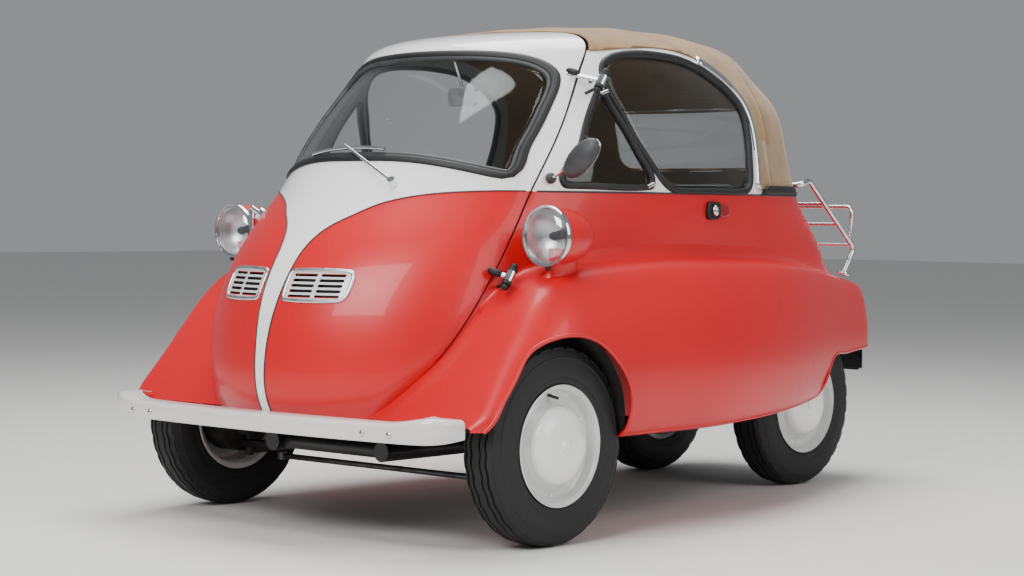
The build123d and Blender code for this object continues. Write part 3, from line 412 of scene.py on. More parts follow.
def borrow_normals(piece: Piece, source: Piece, reach: float = 0.0004) -> None:
    """Shade a cut panel as the whole skin that it was cut from.

    Args:
        piece: The panel.
        source: The uncut skin.
        reach: How near a vertex lies to the skin to follow it.
    """
    tree = BVHTree.FromObject(source, bpy.context.evaluated_depsgraph_get())
    near = [v.index for v in piece.data.vertices if tree.find_nearest(v.co, reach)[0] is not None]
    group = piece.vertex_groups.new(name="skin")
    group.add(near, 1.0, "REPLACE")
    modify(piece, "DATA_TRANSFER", object=source, use_loop_data=True, data_types_loops={"CUSTOM_NORMAL"},
           loop_mapping="POLYINTERP_NEAREST", vertex_group="skin")
    piece.vertex_groups.clear()


def dress(piece: Piece, *finishes: bpy.types.Material) -> None:
    """Give a piece its materials."""
    piece.data.materials.clear()
    for finish in finishes:
        piece.data.materials.append(finish)


def report(piece: Piece, body: str, slot: str, *nodes: str) -> None:
    """Set a piece on its body, hide the nodes that it stands for and log its face count.

    Args:
        piece: The finished piece.
        body: The body that it rides on.
        slot: Not used.
        *nodes: The nodes that it replaces.
    """
    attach(piece, body)
    if nodes:
        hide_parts(*nodes)
    LOG.info("%s: %d faces on %s", piece.name, len(piece.data.polygons), body)


def fit(parts: Sequence[Piece], name: str, finish: bpy.types.Material, body: str, slot: str, *nodes: str) -> None:
    """Join parts into one piece, dress it and set it on its body.

    Args:
        parts: What it is joined from.
        name: The piece's name.
        finish: Its material.
        body: The body that it rides on.
        slot: A material slot's name, handed on to report.
        *nodes: The nodes that it replaces.
    """
    piece = joined(parts, name)
    dress(piece, finish)
    report(piece, body, slot, *nodes)


# ---------------------------------------------------------------- skins
@dataclass
class HullSkin:
    """The cabin's closed form, from plan outlines at rising heights, in millimetres.

    A level is height, nose Y, nose radius, nose half width, widest half width, rear half width,
    rear Y and rear radius.
    """

    levels: tuple[tuple[float, ...], ...] = (
        (262, -1050, 500, 285, 330, 300, 960, 900),
        (330, -1090, 500, 325, 362, 330, 960, 900),
        (450, -1106, 500, 412, 450, 370, 960, 900),
        (590, -1076, 500, 446, 505, 395, 935, 900),
        (720, -1000, 500, 452, 522, 405, 866, 880),
        (872, -853, 520, 444, 530, 405, 732, 850),
        (1000, -739, 560, 444, 512, 397, 674, 820),
        (1120, -627, 560, 434, 478, 384, 632, 780),
        (1205, -546, 560, 418, 443, 342, 545, 735),
        (1245, -512, 560, 402, 418, 322, 508, 700),
        (1275, -450, 545, 365, 376, 290, 472, 640),
        (1300, -290, 470, 280, 296, 235, 425, 540),
        (1316, -150, 400, 200, 216, 180, 385, 450),
        (1325, -30, 320, 140, 152, 128, 345, 380),
        (1330, 50, 250, 92, 102, 88, 312, 330),
    )
    widest_share: float = 0.4
    steps: tuple[int, int, int] = (22, 34, 20)
    rows: int = 100
    softness: int = 3
    crispness: float = 0.85
    grid: np.ndarray = field(init=False)
    normals: np.ndarray = field(init=False)

    def __post_init__(self) -> None:
        """Work out the grid of points and its outward normals."""
        firm = np.array([self.half_outline(level) for level in self.levels])
        soft = np.array([soften(half, self.softness) for half in firm])
        # Rear corners keep their edge: fully over the last steps and from 1.05 m up, fading down to 0.8 m.
        heights = np.array([level[0] / 1000 for level in self.levels])
        rear = np.clip((np.arange(firm.shape[1]) - self.steps[0] - 18) / 10, 0, 1)
        upper = np.clip((heights - 0.8) / 0.25, 0, 1) * self.crispness
        halves = soft + (firm - soft) * (rear[None, :] * upper[:, None])[..., None]
        flat = np.repeat(heights[:, None, None], halves.shape[1], 1)
        points = np.concatenate([halves, flat], 2)
        stride = np.linalg.norm(np.diff(points, axis=0), axis=2).mean(1)
        knots = np.concatenate([[0], np.cumsum(stride)])
        half = spline(knots, points, np.linspace(0, knots[-1], self.rows))
        mirror = half[:, 1:-1][:, ::-1] * np.array([-1, 1, 1])
        self.grid = np.concatenate([half, mirror], 1)
        round_about = np.roll(self.grid, -1, 1) - np.roll(self.grid, 1, 1)
        upward = np.gradient(self.grid, axis=0)
        normals = np.cross(round_about, upward)
        self.normals = normals / np.linalg.norm(normals, axis=2, keepdims=True)

    def half_outline(self, level: Sequence[float]) -> np.ndarray:
        """Draw the left half of one plan outline from the nose to the rear, in metres.

        Args:
            level: Its row of sizes.

        Returns:
            Points from the nose to the rear, as X and Y.
        """
        _, nose_y, nose_r, nose_x, wide, rear_x, rear_y, rear_r = (value / 1000 for value in level)
        nose_end = nose_y + nose_r - math.sqrt(nose_r**2 - nose_x**2)
        rear_end = rear_y - rear_r + math.sqrt(rear_r**2 - rear_x**2)
        wide_y = nose_end + (rear_end - nose_end) * self.widest_share
        nose_turn = np.linspace(0, math.asin(nose_x / nose_r), self.steps[0] + 1)
        nose = np.stack([nose_r * np.sin(nose_turn), nose_y + nose_r - nose_r * np.cos(nose_turn)], 1)
        side = arc((nose_x, nose_end), (wide, wide_y), (rear_x, rear_end), self.steps[1])
        rear_turn = np.linspace(math.asin(rear_x / rear_r), 0, self.steps[2] + 1)
        rear = np.stack([rear_r * np.sin(rear_turn), rear_y - rear_r + rear_r * np.cos(rear_turn)], 1)
        return np.concatenate([nose, side[1:], rear[1:]])

    def skin(self, name: str, outward: float = 0.0, floor: bool = False) -> Piece:
        """Make the skin as a mesh, closed at its top.

        Args:
            name: The piece's name.
            outward: How far it stands off the form.
            floor: Whether its bottom is closed too.

        Returns:
            The skin.
        """
        rows = self.grid + self.normals * outward
        count, around, _ = rows.shape
        crown = rows[-1].mean(0)
        caps = [crown + (rows[-1] - crown) * share for share in (0.75, 0.5, 0.25)]
        points = np.concatenate([rows.reshape(-1, 3), *caps, [crown]])
        faces = grid_faces(count + len(caps), around, ring=True)
        top = (count + len(caps) - 1) * around
        faces += [(top + j, top + (j + 1) % around, len(points) - 1) for j in range(around)]
        if floor:
            faces.append(tuple(range(around))[::-1])
        return mesh_piece(name, points, faces)

    def at(self, column: int, z: float) -> tuple[Vector, Vector]:
        """Read a column's point and outward normal at a height.

        Args:
            column: The column, counted round the form.
            z: The height.

        Returns:
            The point and the normal.
        """
        heights = self.grid[:, column, 2]
        place, normal = (Vector([float(np.interp(z, heights, part[:, column, k])) for k in range(3)])
                         for part in (self.grid, self.normals))
        return place, normal

    def level(self, z: float) -> list[tuple[Vector, Vector]]:
        """Read every column's point and outward normal at a height."""
        return [self.at(column, z) for column in range(self.grid.shape[1])]


def probed(piece: Piece) -> BVHTree:
    """Turn a helper skin into a tree for finding places on it."""
    tree = BVHTree.FromObject(piece, bpy.context.evaluated_depsgraph_get())
    bpy.data.objects.remove(piece)
    return tree


HULL = HullSkin()
PROBE = probed(HULL.skin("probe"))


def on_hull(seen: Along, first: float, second: float, side: float = 1.0) -> tuple[Vector, Vector]:
    """Find the skin's point behind a place seen from the front, the side or above.

    Args:
        seen: The axis that it is seen along.
        first: The first of the two other coordinates.
        second: The second of them.
        side: For X, 1 for the left side and -1 for the right; for Y, -1 for the rear.

    Returns:
        The point and the outward normal.
    """
    out = -side if seen is Along.Y else side
    start, way = seen.place(first, second, FAR * out), seen.place(0.0, 0.0, -out)
    place, normal, _, _ = PROBE.ray_cast(Vector(start), Vector(way))
    if place is None:
        raise ValueError(f"nothing of the skin lies behind {first}, {second}")
    return place, normal


def on_skin(seen: Along, outline: Sequence[Pair], side: float = 1.0, outward: float = 0.0) -> list[Vector]:
    """Lay an outline seen from the front or the side on the skin."""
    found = [on_hull(seen, float(first), float(second), side) for first, second in outline]
    return [place + normal * outward for place, normal in found]


@dataclass
class FlankSkin:
    """The lower body over both flanks and the tail, from sections along the car, in millimetres.

    A station is Y, bottom Z, bottom X, widest X, widest Z, shoulder X, shoulder Z and centre Z.
    """

    stations: tuple[tuple[float, ...], ...] = (
        (-1000, 290, 600, 613, 299, 600, 308, 310),
        (-962, 289, 627, 643, 313, 611, 350, 356),
        (-925, 287, 638, 652, 340, 611, 397, 404),
        (-885, 284, 645, 656, 374, 608, 446, 455),
        (-840, 279, 650, 661, 412, 604, 502, 513),
        (-795, 273, 652, 674, 441, 602, 556, 569),
        (-745, 267, 654, 686, 458, 600, 606, 622),
        (-690, 261, 655, 690, 466, 600, 644, 664),
        (-620, 256, 655, 690, 470, 600, 664, 688),
        (-480, 251, 655, 690, 470, 600, 678, 706),
        (-300, 250, 655, 690, 470, 600, 687, 716),
        (-100, 250, 654, 688, 470, 599, 689, 719),
        (130, 256, 632, 664, 470, 586, 684, 716),
        (350, 266, 590, 615, 470, 558, 676, 712),
        (560, 278, 524, 547, 470, 500, 663, 706),
        (750, 290, 455, 478, 470, 436, 645, 698),
        (900, 296, 404, 426, 465, 388, 620, 684),
        (1010, 302, 368, 388, 455, 356, 606, 664),
        (1085, 310, 338, 357, 445, 330, 590, 634),
        (1120, 318, 320, 336, 440, 312, 572, 604),
    )
    tail_close: tuple[Pair, ...] = ((1132, 0.965), (1139, 0.9), (1142, 0.75), (1142.6, 0.45), (1142.8, 0.15))
    tail_middle: float = 450.0
    steps: tuple[int, int, int] = (8, 34, 34)
    rows: int = 190
    softness: int = 4
    grid: np.ndarray = field(init=False)

    def __post_init__(self) -> None:
        """Work out the grid of half sections."""
        halves = [self.half_section(station) for station in self.stations]
        places = [station[0] / 1000 for station in self.stations]
        points = np.array([np.insert(half, 2, y, axis=1) for half, y in zip(halves, places, strict=True)])
        knots = np.array(places)
        grid = spline(knots, points, np.linspace(knots[0], knots[-1], self.rows))
        middle = np.array([0, self.tail_middle / 1000])
        ends = []
        for y, share in self.tail_close:
            ends.append(np.insert(middle + (grid[-1][:, :2] - middle) * share, 2, y / 1000, axis=1))
        self.grid = np.concatenate([grid, np.array(ends)])[..., (0, 2, 1)]

    def half_section(self, station: Sequence[float]) -> np.ndarray:
        """Draw the left half of one section from under the sill to the middle of the deck, in metres.

        Args:
            station: Its row of sizes.

        Returns:
            Points from the sill to the middle, as X and Z.
        """
        _, low, low_x, wide, wide_z, top_x, top_z, middle_z = (value / 1000 for value in station)
        under = np.stack([np.linspace(low_x - 0.12, low_x, self.steps[0] + 1), np.full(self.steps[0] + 1, low)], 1)
        side = arc((low_x, low), (wide, wide_z), (top_x, top_z), self.steps[1])
        share = np.linspace(0, 1, self.steps[2] + 1) ** 1.25
        deck = np.stack([top_x * (1 - share), top_z + (middle_z - top_z) * np.sin(share * np.pi / 2)], 1)
        half = np.concatenate([under, side[1:], deck[1:]])
        firm = half.copy()
        for _ in range(self.softness):
            half = averaged(np.concatenate([half[:2], half, half[-3:-1][::-1] * (-1, 1)]))
        half[0] = firm[0]
        return half

    def skin(self, name: str) -> Piece:
        """Make the open skin from the left sill over the deck to the right sill.

        Args:
            name: The piece's name.

        Returns:
            The skin.
        """
        mirror = self.grid[:, :-1][:, ::-1] * np.array([-1, 1, 1])
        grid = np.concatenate([self.grid, mirror], 1)
        count, across, _ = grid.shape
        faces = [(face[0], *face[:0:-1]) for face in grid_faces(count, across)]
        last = (count - 1) * across
        faces.append(tuple(range(last, last + across)))
        return mesh_piece(name, grid.reshape(-1, 3), faces)


# ---------------------------------------------------------------- finishes
def linear(code: str) -> tuple[float, float, float, float]:
    """Turn an sRGB hex colour to linear.

    Args:
        code: The colour as six hex digits.

    Returns:
        Red, green, blue and alpha for a shader socket.
    """
    parts = [int(code[i : i + 2], 16) / 255 for i in (0, 2, 4)]
    low = [p / 12.92 if p <= 0.04045 else ((p + 0.055) / 1.055) ** 2.4 for p in parts]
    return (low[0], low[1], low[2], 1.0)


Socket = bpy.types.NodeSocket


@dataclass
class Shader:
    """A procedural material that reads Object coordinates, with its shader's sockets at hand."""

    name: str

    def __post_init__(self) -> None:
        """Open the material and its coordinates."""
        self.material = bpy.data.materials.new(self.name)
        self.material.use_nodes = True
        self.sockets = self.material.node_tree.nodes["Principled BSDF"].inputs
        self.place = self.node("ShaderNodeTexCoord", out="Object")

    def node(self, kind: str, links: dict[int | str, object] | None = None, out: int | str = 0,
             stops: Sequence[tuple[float, str]] = (), **settings: object) -> Socket:
        """Add a node with its settings and links.

        Args:
            kind: The node's type.
            links: Values or sockets for its inputs.
            out: The output to return.
            stops: Places and hex colours, for a node with a colour ramp.
            **settings: Its own settings.

        Returns:
            The output socket.
        """
        tree = self.material.node_tree
        made = tree.nodes.new(kind)
        for key, value in settings.items():
            setattr(made, key, value)
        if stops:
            bar = made.color_ramp.elements
            while len(bar) < len(stops):
                bar.new(0.5)
            for mark, (place, code) in zip(bar, stops, strict=True):
                mark.position, mark.color = place, linear(code)
        for key, value in (links or {}).items():
            if isinstance(value, Socket):
                tree.links.new(value, made.inputs[key])
            else:
                made.inputs[key].default_value = value
        return made.outputs[out]

    def shade(self, **values: object) -> bpy.types.Material:
        """Set or link the shader's sockets, with spaces written as underscores.

        Args:
            **values: Values or sockets by socket name.

        Returns:
            The material.
        """
        for key, value in values.items():
            socket = self.sockets[key.replace("_", " ")]
            if isinstance(value, Socket):
                self.material.node_tree.links.new(value, socket)
            else:
                socket.default_value = value
        return self.material


@dataclass(frozen=True)
class Enamel:
    """Sprayed and stoved enamel: an even colour under a hard gloss with a faint orange peel."""

    name: str
    code: str
    shadow: str
    rough: float = 0.3
    coat: float = 1.0

    def material(self) -> bpy.types.Material:
        """Make the material."""
        s = Shader(self.name)
        # Broad drift of a hand-sprayed coat, about 400 mm across.
        drift = s.node("ShaderNodeTexNoise", {"Vector": s.place, "Scale": 1000 / 400, "Detail": 2.0})
        # Dust and polishing haze, 25 mm blotches.
        haze = s.node("ShaderNodeTexNoise", {"Vector": s.place, "Scale": 1000 / 25, "Detail": 4.0})
        # Orange peel is about 3 mm; drawn at 9 mm so that it shows.
        peel = s.node("ShaderNodeTexNoise", {"Vector": s.place, "Scale": 1000 / 9, "Detail": 1.0})
        colour = s.node("ShaderNodeValToRGB", {0: drift}, stops=((0.3, self.shadow), (0.7, self.code)))
        rough = s.node("ShaderNodeMapRange", {0: haze, 3: self.rough - 0.05, 4: self.rough + 0.06})
        relief = s.node("ShaderNodeBump", {"Height": peel, "Distance": 0.00002, "Strength": 0.2})
        return s.shade(Base_Color=colour, Roughness=rough, Normal=relief, IOR=1.45, Coat_Weight=self.coat,
                       Coat_Roughness=0.05)


@dataclass(frozen=True)
class Rubber:
    """Moulded or extruded rubber: near black, soft sheen, grey bloom in patches."""

    name: str
    code: str = "0A0A0B"
    bloom: str = "161718"
    rough: float = 0.55

    def material(self) -> bpy.types.Material:
        """Make the material."""
        s = Shader(self.name)
        # Bloom patches about 30 mm across; the moulded skin's grain is 1 mm.
        patches = s.node("ShaderNodeTexNoise", {"Vector": s.place, "Scale": 1000 / 30, "Detail": 5.0})
        grain = s.node("ShaderNodeTexNoise", {"Vector": s.place, "Scale": 1000.0, "Detail": 2.0})
        colour = s.node("ShaderNodeValToRGB", {0: patches}, stops=((0.35, self.code), (0.8, self.bloom)))
        rough = s.node("ShaderNodeMapRange", {0: patches, 3: self.rough - 0.08, 4: self.rough + 0.1})
        relief = s.node("ShaderNodeBump", {"Height": grain, "Distance": 0.00005, "Strength": 0.35})
        return s.shade(Base_Color=colour, Roughness=rough, Normal=relief, IOR=1.52)


@dataclass(frozen=True)
class Plate:
    """Polished or plated metal: mirror bright with faint wiping haze and a few dull specks."""

    name: str
    code: str = "E4E6E8"
    rough: float = 0.08
    spots: float = 0.12

    def material(self) -> bpy.types.Material:
        """Make the material."""
        s = Shader(self.name)
        # Wiping haze in 20 mm patches; pits about 1.5 mm wide, 12 mm apart.
        haze = s.node("ShaderNodeTexNoise", {"Vector": s.place, "Scale": 1000 / 20, "Detail": 5.0})
        pits = s.node("ShaderNodeTexVoronoi", {"Vector": s.place, "Scale": 1000 / 12})
        speck = s.node("ShaderNodeMapRange", {0: pits, 1: 0.06, 2: 0.0, 3: 0.0, 4: self.spots})
        rough = s.node("ShaderNodeMath", {0: s.node("ShaderNodeMapRange", {0: haze, 3: self.rough * 0.6,
                                                                          4: self.rough * 1.6}), 1: speck},
                       operation="ADD")
        colour = s.node("ShaderNodeValToRGB", {0: haze}, stops=((0.3, "C9CCCF"), (0.7, self.code)))
        return s.shade(Base_Color=colour, Roughness=rough, Metallic=1.0)


@dataclass(frozen=True)
class Casting:
    """Bare or painted iron and steel under the car: dark, rough, with road dust and a little rust."""

    name: str
    code: str = "1B1A19"
    dust: str = "4A4038"
    metallic: float = 0.0
    rough: float = 0.62

    def material(self) -> bpy.types.Material:
        """Make the material."""
        s = Shader(self.name)
        # Sand-cast or brushed skin of 2 mm grain under dust that lies in 45 mm patches.
        grain = s.node("ShaderNodeTexNoise", {"Vector": s.place, "Scale": 1000 / 2, "Detail": 3.0})
        patches = s.node("ShaderNodeTexNoise", {"Vector": s.place, "Scale": 1000 / 45, "Detail": 6.0})
        colour = s.node("ShaderNodeValToRGB", {0: patches}, stops=((0.45, self.code), (0.78, self.dust)))
        rough = s.node("ShaderNodeMapRange", {0: patches, 3: self.rough - 0.15, 4: self.rough + 0.25})
        relief = s.node("ShaderNodeBump", {"Height": grain, "Distance": 0.0003, "Strength": 0.5})
        return s.shade(Base_Color=colour, Roughness=rough, Normal=relief, Metallic=self.metallic)


@dataclass(frozen=True)
class Pane:
    """A thin clear sheet: it lets light through and mirrors the room more towards its edges."""

    name: str
    code: str = "DDE6E4"
    clear: float = 0.025
    rough: float = 0.02

    def material(self) -> bpy.types.Material:
        """Make the material."""
        s = Shader(self.name)
        # A pane mirrors a few per cent head on and most at a glance, the same from both faces.
        facing = s.node("ShaderNodeLayerWeight", {"Blend": 0.5}, out="Facing")
        mirror = s.node("ShaderNodeMath", {0: facing, 1: 4.0}, operation="POWER")
        streaks = s.node("ShaderNodeTexNoise", {"Vector": s.place, "Scale": 1000 / 60, "Detail": 4.0})
        body = s.node("ShaderNodeMapRange", {0: mirror, 3: self.clear, 4: 0.85})
        rough = s.node("ShaderNodeMapRange", {0: streaks, 3: self.rough, 4: self.rough + 0.04})
        s.sockets["Alpha"].default_value = self.clear + 0.08
        return s.shade(Base_Color=linear(self.code), Roughness=rough, Alpha=body, Metallic=1.0)


@dataclass(frozen=True)
class Lens:
    """Moulded lamp plastic or pressed glass: deep clear colour with a wet gloss."""

    name: str
    code: str
    alpha: float = 1.0

    def material(self) -> bpy.types.Material:
        """Make the material."""
        s = Shader(self.name)
        # Moulding waves about 8 mm long.
        waves = s.node("ShaderNodeTexNoise", {"Vector": s.place, "Scale": 1000 / 8, "Detail": 1.0})
        relief = s.node("ShaderNodeBump", {"Height": waves, "Distance": 0.0001, "Strength": 0.2})
        rough = s.node("ShaderNodeMapRange", {0: waves, 3: 0.05, 4: 0.14})
        return s.shade(Base_Color=linear(self.code), Roughness=rough, Normal=relief, Alpha=self.alpha, IOR=1.49,
                       Coat_Weight=0.6, Coat_Roughness=0.02)


@dataclass(frozen=True)
class WovenCloth:
    """Coated double-duck: close threads both ways, chalky sheen, paler where it is stretched."""

    name: str
    code: str = "9C7C52"
    shadow: str = "826641"
    weave_mm: float = 10.053096

    def material(self) -> bpy.types.Material:
        """Make the material."""
        s = Shader(self.name)
        # Threads are 0.5 mm apart; drawn in bands 10 mm apart so that the weave shows.
        scale = 1000 * math.pi / 10 / self.weave_mm
        warp, weft, rise = (s.node("ShaderNodeTexWave", {"Vector": s.place, "Scale": scale, "Distortion": 0.6},
                                   wave_type="BANDS", bands_direction=way) for way in "XYZ")
        flat = s.node("ShaderNodeMath", {0: warp, 1: weft}, operation="MAXIMUM")
        weave = s.node("ShaderNodeMath", {0: flat, 1: rise}, operation="MULTIPLY")
        # Sun fading and dust, 90 mm patches, with 3 mm slubs.
        fading = s.node("ShaderNodeTexNoise", {"Vector": s.place, "Scale": 1000 / 90, "Detail": 6.0,
                                               "Roughness": 0.62})
        colour = s.node("ShaderNodeValToRGB", {0: fading}, stops=((0.3, self.shadow), (0.7, self.code)))
        relief = s.node("ShaderNodeBump", {"Height": weave, "Distance": 0.0004, "Strength": 0.6})
        rough = s.node("ShaderNodeMapRange", {0: fading, 3: 0.72, 4: 0.9})
        return s.shade(Base_Color=colour, Roughness=rough, Normal=relief, Sheen_Weight=0.25, Sheen_Roughness=0.4)


@dataclass(frozen=True)
class Leathercloth:
    """Pressed vinyl leathercloth: pebbled grain with a dull shine on its high parts."""

    name: str
    code: str = "2C1B14"
    shadow: str = "1A100C"
    rough: float = 0.46

    def material(self) -> bpy.types.Material:
        """Make the material."""
        s = Shader(self.name)
        # Pebbles of 2 mm, drawn at 4 mm; hand wear in 70 mm patches.
        pebbles = s.node("ShaderNodeTexVoronoi", {"Vector": s.place, "Scale": 1000 / 4}, feature="F1")
        wear = s.node("ShaderNodeTexNoise", {"Vector": s.place, "Scale": 1000 / 70, "Detail": 5.0})
        colour = s.node("ShaderNodeValToRGB", {0: wear}, stops=((0.35, self.shadow), (0.75, self.code)))
        rough = s.node("ShaderNodeMapRange", {0: wear, 3: self.rough + 0.1, 4: self.rough - 0.08})
        relief = s.node("ShaderNodeBump", {"Height": pebbles, "Distance": 0.0005, "Strength": 0.5})
        return s.shade(Base_Color=colour, Roughness=rough, Normal=relief, IOR=1.5)


class Finishes:
    """Every finish on the car, made once."""

    def __init__(self) -> None:
        """Make the materials."""
        self.red = Enamel("red_stoved_enamel", "CF0014", "C60012", 0.38, 0.2).material()
        self.white = Enamel("white_stoved_enamel", "F8F8F6", "F3F3F1").material()
        self.cream = Enamel("cream_bumper_enamel", "E3E1DA", "D8D6CF").material()
        self.wheel = Enamel("silver_white_wheel_enamel", "D9DAD8", "CDCECD").material()
        self.inside = Enamel("grey_cabin_paint", "9A9B99", "8C8D8C", 0.45, 0.2).material()
        self.black = Enamel("black_chassis_paint", "1A1A1B", "121213", 0.45, 0.2).material()
        self.rubber = Rubber("extruded_black_rubber").material()
        self.grey_rubber = Rubber("weathered_grey_rubber", "2E2F31", "424446", 0.5).material()
        self.tyre = Rubber("vulcanised_tyre_rubber", "0B0B0C", "161718", 0.66).material()
        self.chrome = Plate("polished_chrome_plate").material()
        self.alloy = Plate("bright_aluminium", "D5D7D9", 0.28).material()
        self.reflector = Plate("silvered_reflector", "E6E8EA", 0.32, 0.0).material()
        self.iron = Casting("cast_iron_bare").material()
        self.steel = Casting("drawn_steel_bare", "77797B", "5B5148", 0.9, 0.42).material()
        self.engine = Casting("sand_cast_aluminium", "8B8D8E", "5F5A52", 0.8, 0.5).material()
        self.underseal = Casting("brushed_underseal", "151413", "2A2622", 0.0, 0.8).material()
        self.glass = Pane("toughened_window_glass").material()
        self.sheet = Pane("flexible_clear_vinyl", "D8DAD2", 0.22, 0.08).material()
        self.lens = Pane("pressed_headlamp_glass", "EEF2F2", 0.16, 0.03).material()
        self.red_lamp = Lens("red_acrylic_lamp", "8E0D10").material()
        self.clear_lamp = Lens("frosted_acrylic_lamp", "D9DCDA").material()
        self.ivory = Lens("ivory_bakelite", "DDD3B8").material()
        self.canvas = WovenCloth("tan_coated_duck").material()
        self.lining = WovenCloth("brown_roof_lining", "5A4634", "46372A").material()
        self.seat = Leathercloth("dark_brown_leathercloth").material()
        self.mat = Leathercloth("ribbed_floor_matting", "1D1D1D", "131313", 0.7).material()


# ---------------------------------------------------------------- body
@dataclass
class Seam:
    """The leaning plane that the door's edge lies in."""

    top: Triple = (0.0, -0.345, 1.22)
    lean: float = 35.0
    gap: float = 0.0055

    def normal(self) -> Vector:
        """Point from the door to the cabin."""
        turn = math.radians(self.lean)
        return Vector((0.0, math.cos(turn), -math.sin(turn)))

    def at(self, off: float) -> Vector:
        """Find a place off the plane, towards the cabin."""
        return Vector(self.top) + self.normal() * off

    def y(self, z: float) -> float:
        """Read where the plane lies along the car at a height."""
        return self.top[1] + (z - self.top[2]) * math.tan(math.radians(self.lean))


SEAM = Seam()
# Height of the line between the two colours on the cabin's sides.
BELT_Z = 0.866
# The windscreen's left half from the front, as X and Z.
SCREEN = ((0.0, 0.943), (0.16, 0.94), (0.259, 0.928), (0.34, 0.911), (0.385, 0.9), (0.405, 0.9), (0.415, 0.918),
          (0.413, 0.96), (0.412, 1.024), (0.405, 1.09), (0.393, 1.145), (0.378, 1.172), (0.352, 1.194),
          (0.31, 1.212), (0.24, 1.225), (0.14, 1.231), (0.0, 1.233))
# The side windows in side view, as Y and Z.
MAIN_WINDOW = ((-0.322, 1.168), (-0.312, 1.198), (-0.281, 1.22), (-0.21, 1.236), (-0.128, 1.242), (-0.04, 1.241),
               (0.044, 1.233), (0.12, 1.213), (0.181, 1.187), (0.24, 1.152), (0.274, 1.115), (0.286, 1.06),
               (0.283, 1.0), (0.272, 0.94), (0.26, 0.896), (0.24, 0.876), (0.21, 0.869), (0.05, 0.868),
               (-0.1, 0.868), (-0.135, 0.873), (-0.17, 0.893), (-0.21, 0.94), (-0.25, 0.994), (-0.29, 1.08))
QUARTER = ((-0.512, 0.893), (-0.505, 0.88), (-0.485, 0.876), (-0.35, 0.874), (-0.225, 0.876), (-0.205, 0.882),
           (-0.2, 0.9), (-0.225, 0.95), (-0.27, 1.03), (-0.314, 1.112), (-0.326, 1.13), (-0.345, 1.13),
           (-0.362, 1.115), (-0.42, 1.03), (-0.47, 0.95))
# The left half of the line between the two colours on the door, from the front.
SPLIT = ((0.6, 0.8665), (0.445, 0.8665), (0.4, 0.866), (0.34, 0.863), (0.279, 0.857), (0.205, 0.842), (0.16, 0.825),
         (0.13, 0.807), (0.1, 0.789), (0.07, 0.766), (0.052, 0.74), (0.0415, 0.71), (0.0365, 0.673), (0.033, 0.63),
         (0.028, 0.575), (0.022, 0.51), (0.018, 0.44), (0.0165, 0.38), (0.0165, 0.31), (0.0165, 0.25))
# The tail's lower edge in side view, from the sill's end to the rear.
TAIL_EDGE = ((0.574, 0.262), (0.58, 0.29), (0.59, 0.303), (0.668, 0.383), (0.684, 0.396), (0.706, 0.404),
             (1.3, 0.412))


def ring(half: Sequence[Pair], count: int = 90) -> list[Pair]:
    """Mirror a half outline and space its points evenly."""
    return even([*half, *mirrored(half[-2:0:-1])], count)


def even(outline: Sequence[Pair], count: int = 90) -> list[Pair]:
    """Space points evenly on a smooth closed curve through an outline.

    Args:
        outline: Points that the curve passes.
        count: How many to return.

    Returns:
        The points on the curve.
    """
    rows = np.array([*outline[-3:], *outline, *outline[:4]], float)
    knots = lengths(rows)
    at = np.linspace(knots[3], knots[3 + len(outline)], count + 1)[:-1]
    return [tuple(point) for point in spline(knots, rows, at)]


def shrunk(outline: Sequence[Pair], inset: float) -> list[Pair]:
    """Move a closed smooth outline inwards by an inset.

    Args:
        outline: The outline.
        inset: How far each point moves.

    Returns:
        The smaller outline.
    """
    rows = np.array(outline)
    ahead = np.roll(rows, -1, 0) - np.roll(rows, 1, 0)
    side = left_of(ahead)
    area = np.sum(rows[:, 0] * np.roll(rows[:, 1], -1) - np.roll(rows[:, 0], -1) * rows[:, 1])
    return [tuple(point) for point in rows + side * inset * (1 if area > 0 else -1)]


@dataclass
class Grille:
    """One slotted plate in the nose, with its rolled frame and the dark mesh behind it."""

    left: float = 0.04
    right: float = 0.222
    low: float = 0.588
    high: float = 0.668
    radii: tuple[float, float, float, float] = (0.014, 0.026, 0.022, 0.014)
    columns: tuple[Pair, ...] = ((0.057, 0.126), (0.135, 0.2))
    rows: int = 5
    slot_height: float = 0.0075

    def outline(self, inset: float) -> list[Pair]:
        """Draw the left plate's outline from the front, smaller by an inset."""
        radii = [max(radius - inset, 0.003) for radius in self.radii]
        return rounded(corners(self.left + inset, self.right - inset, self.low + inset, self.high - inset), radii)

    def slots(self, side: float) -> list[Piece]:
        """Make the cutters of one plate's slots.

        Args:
            side: The side of the car.

        Returns:
            The cutters.
        """
        made = []
        for row in range(self.rows):
            z = self.low + 0.014 + row * (self.high - self.low - 0.028) / (self.rows - 1)
            for near, far in self.columns:
                half = self.slot_height / 2
                ends = rounded(corners(near, far, z - half, z + half), half * 0.9, 4)
                made.append(prism(mirrored(ends, side), Along.Y, -1.2, -0.8))
        return made


GRILLE = Grille()


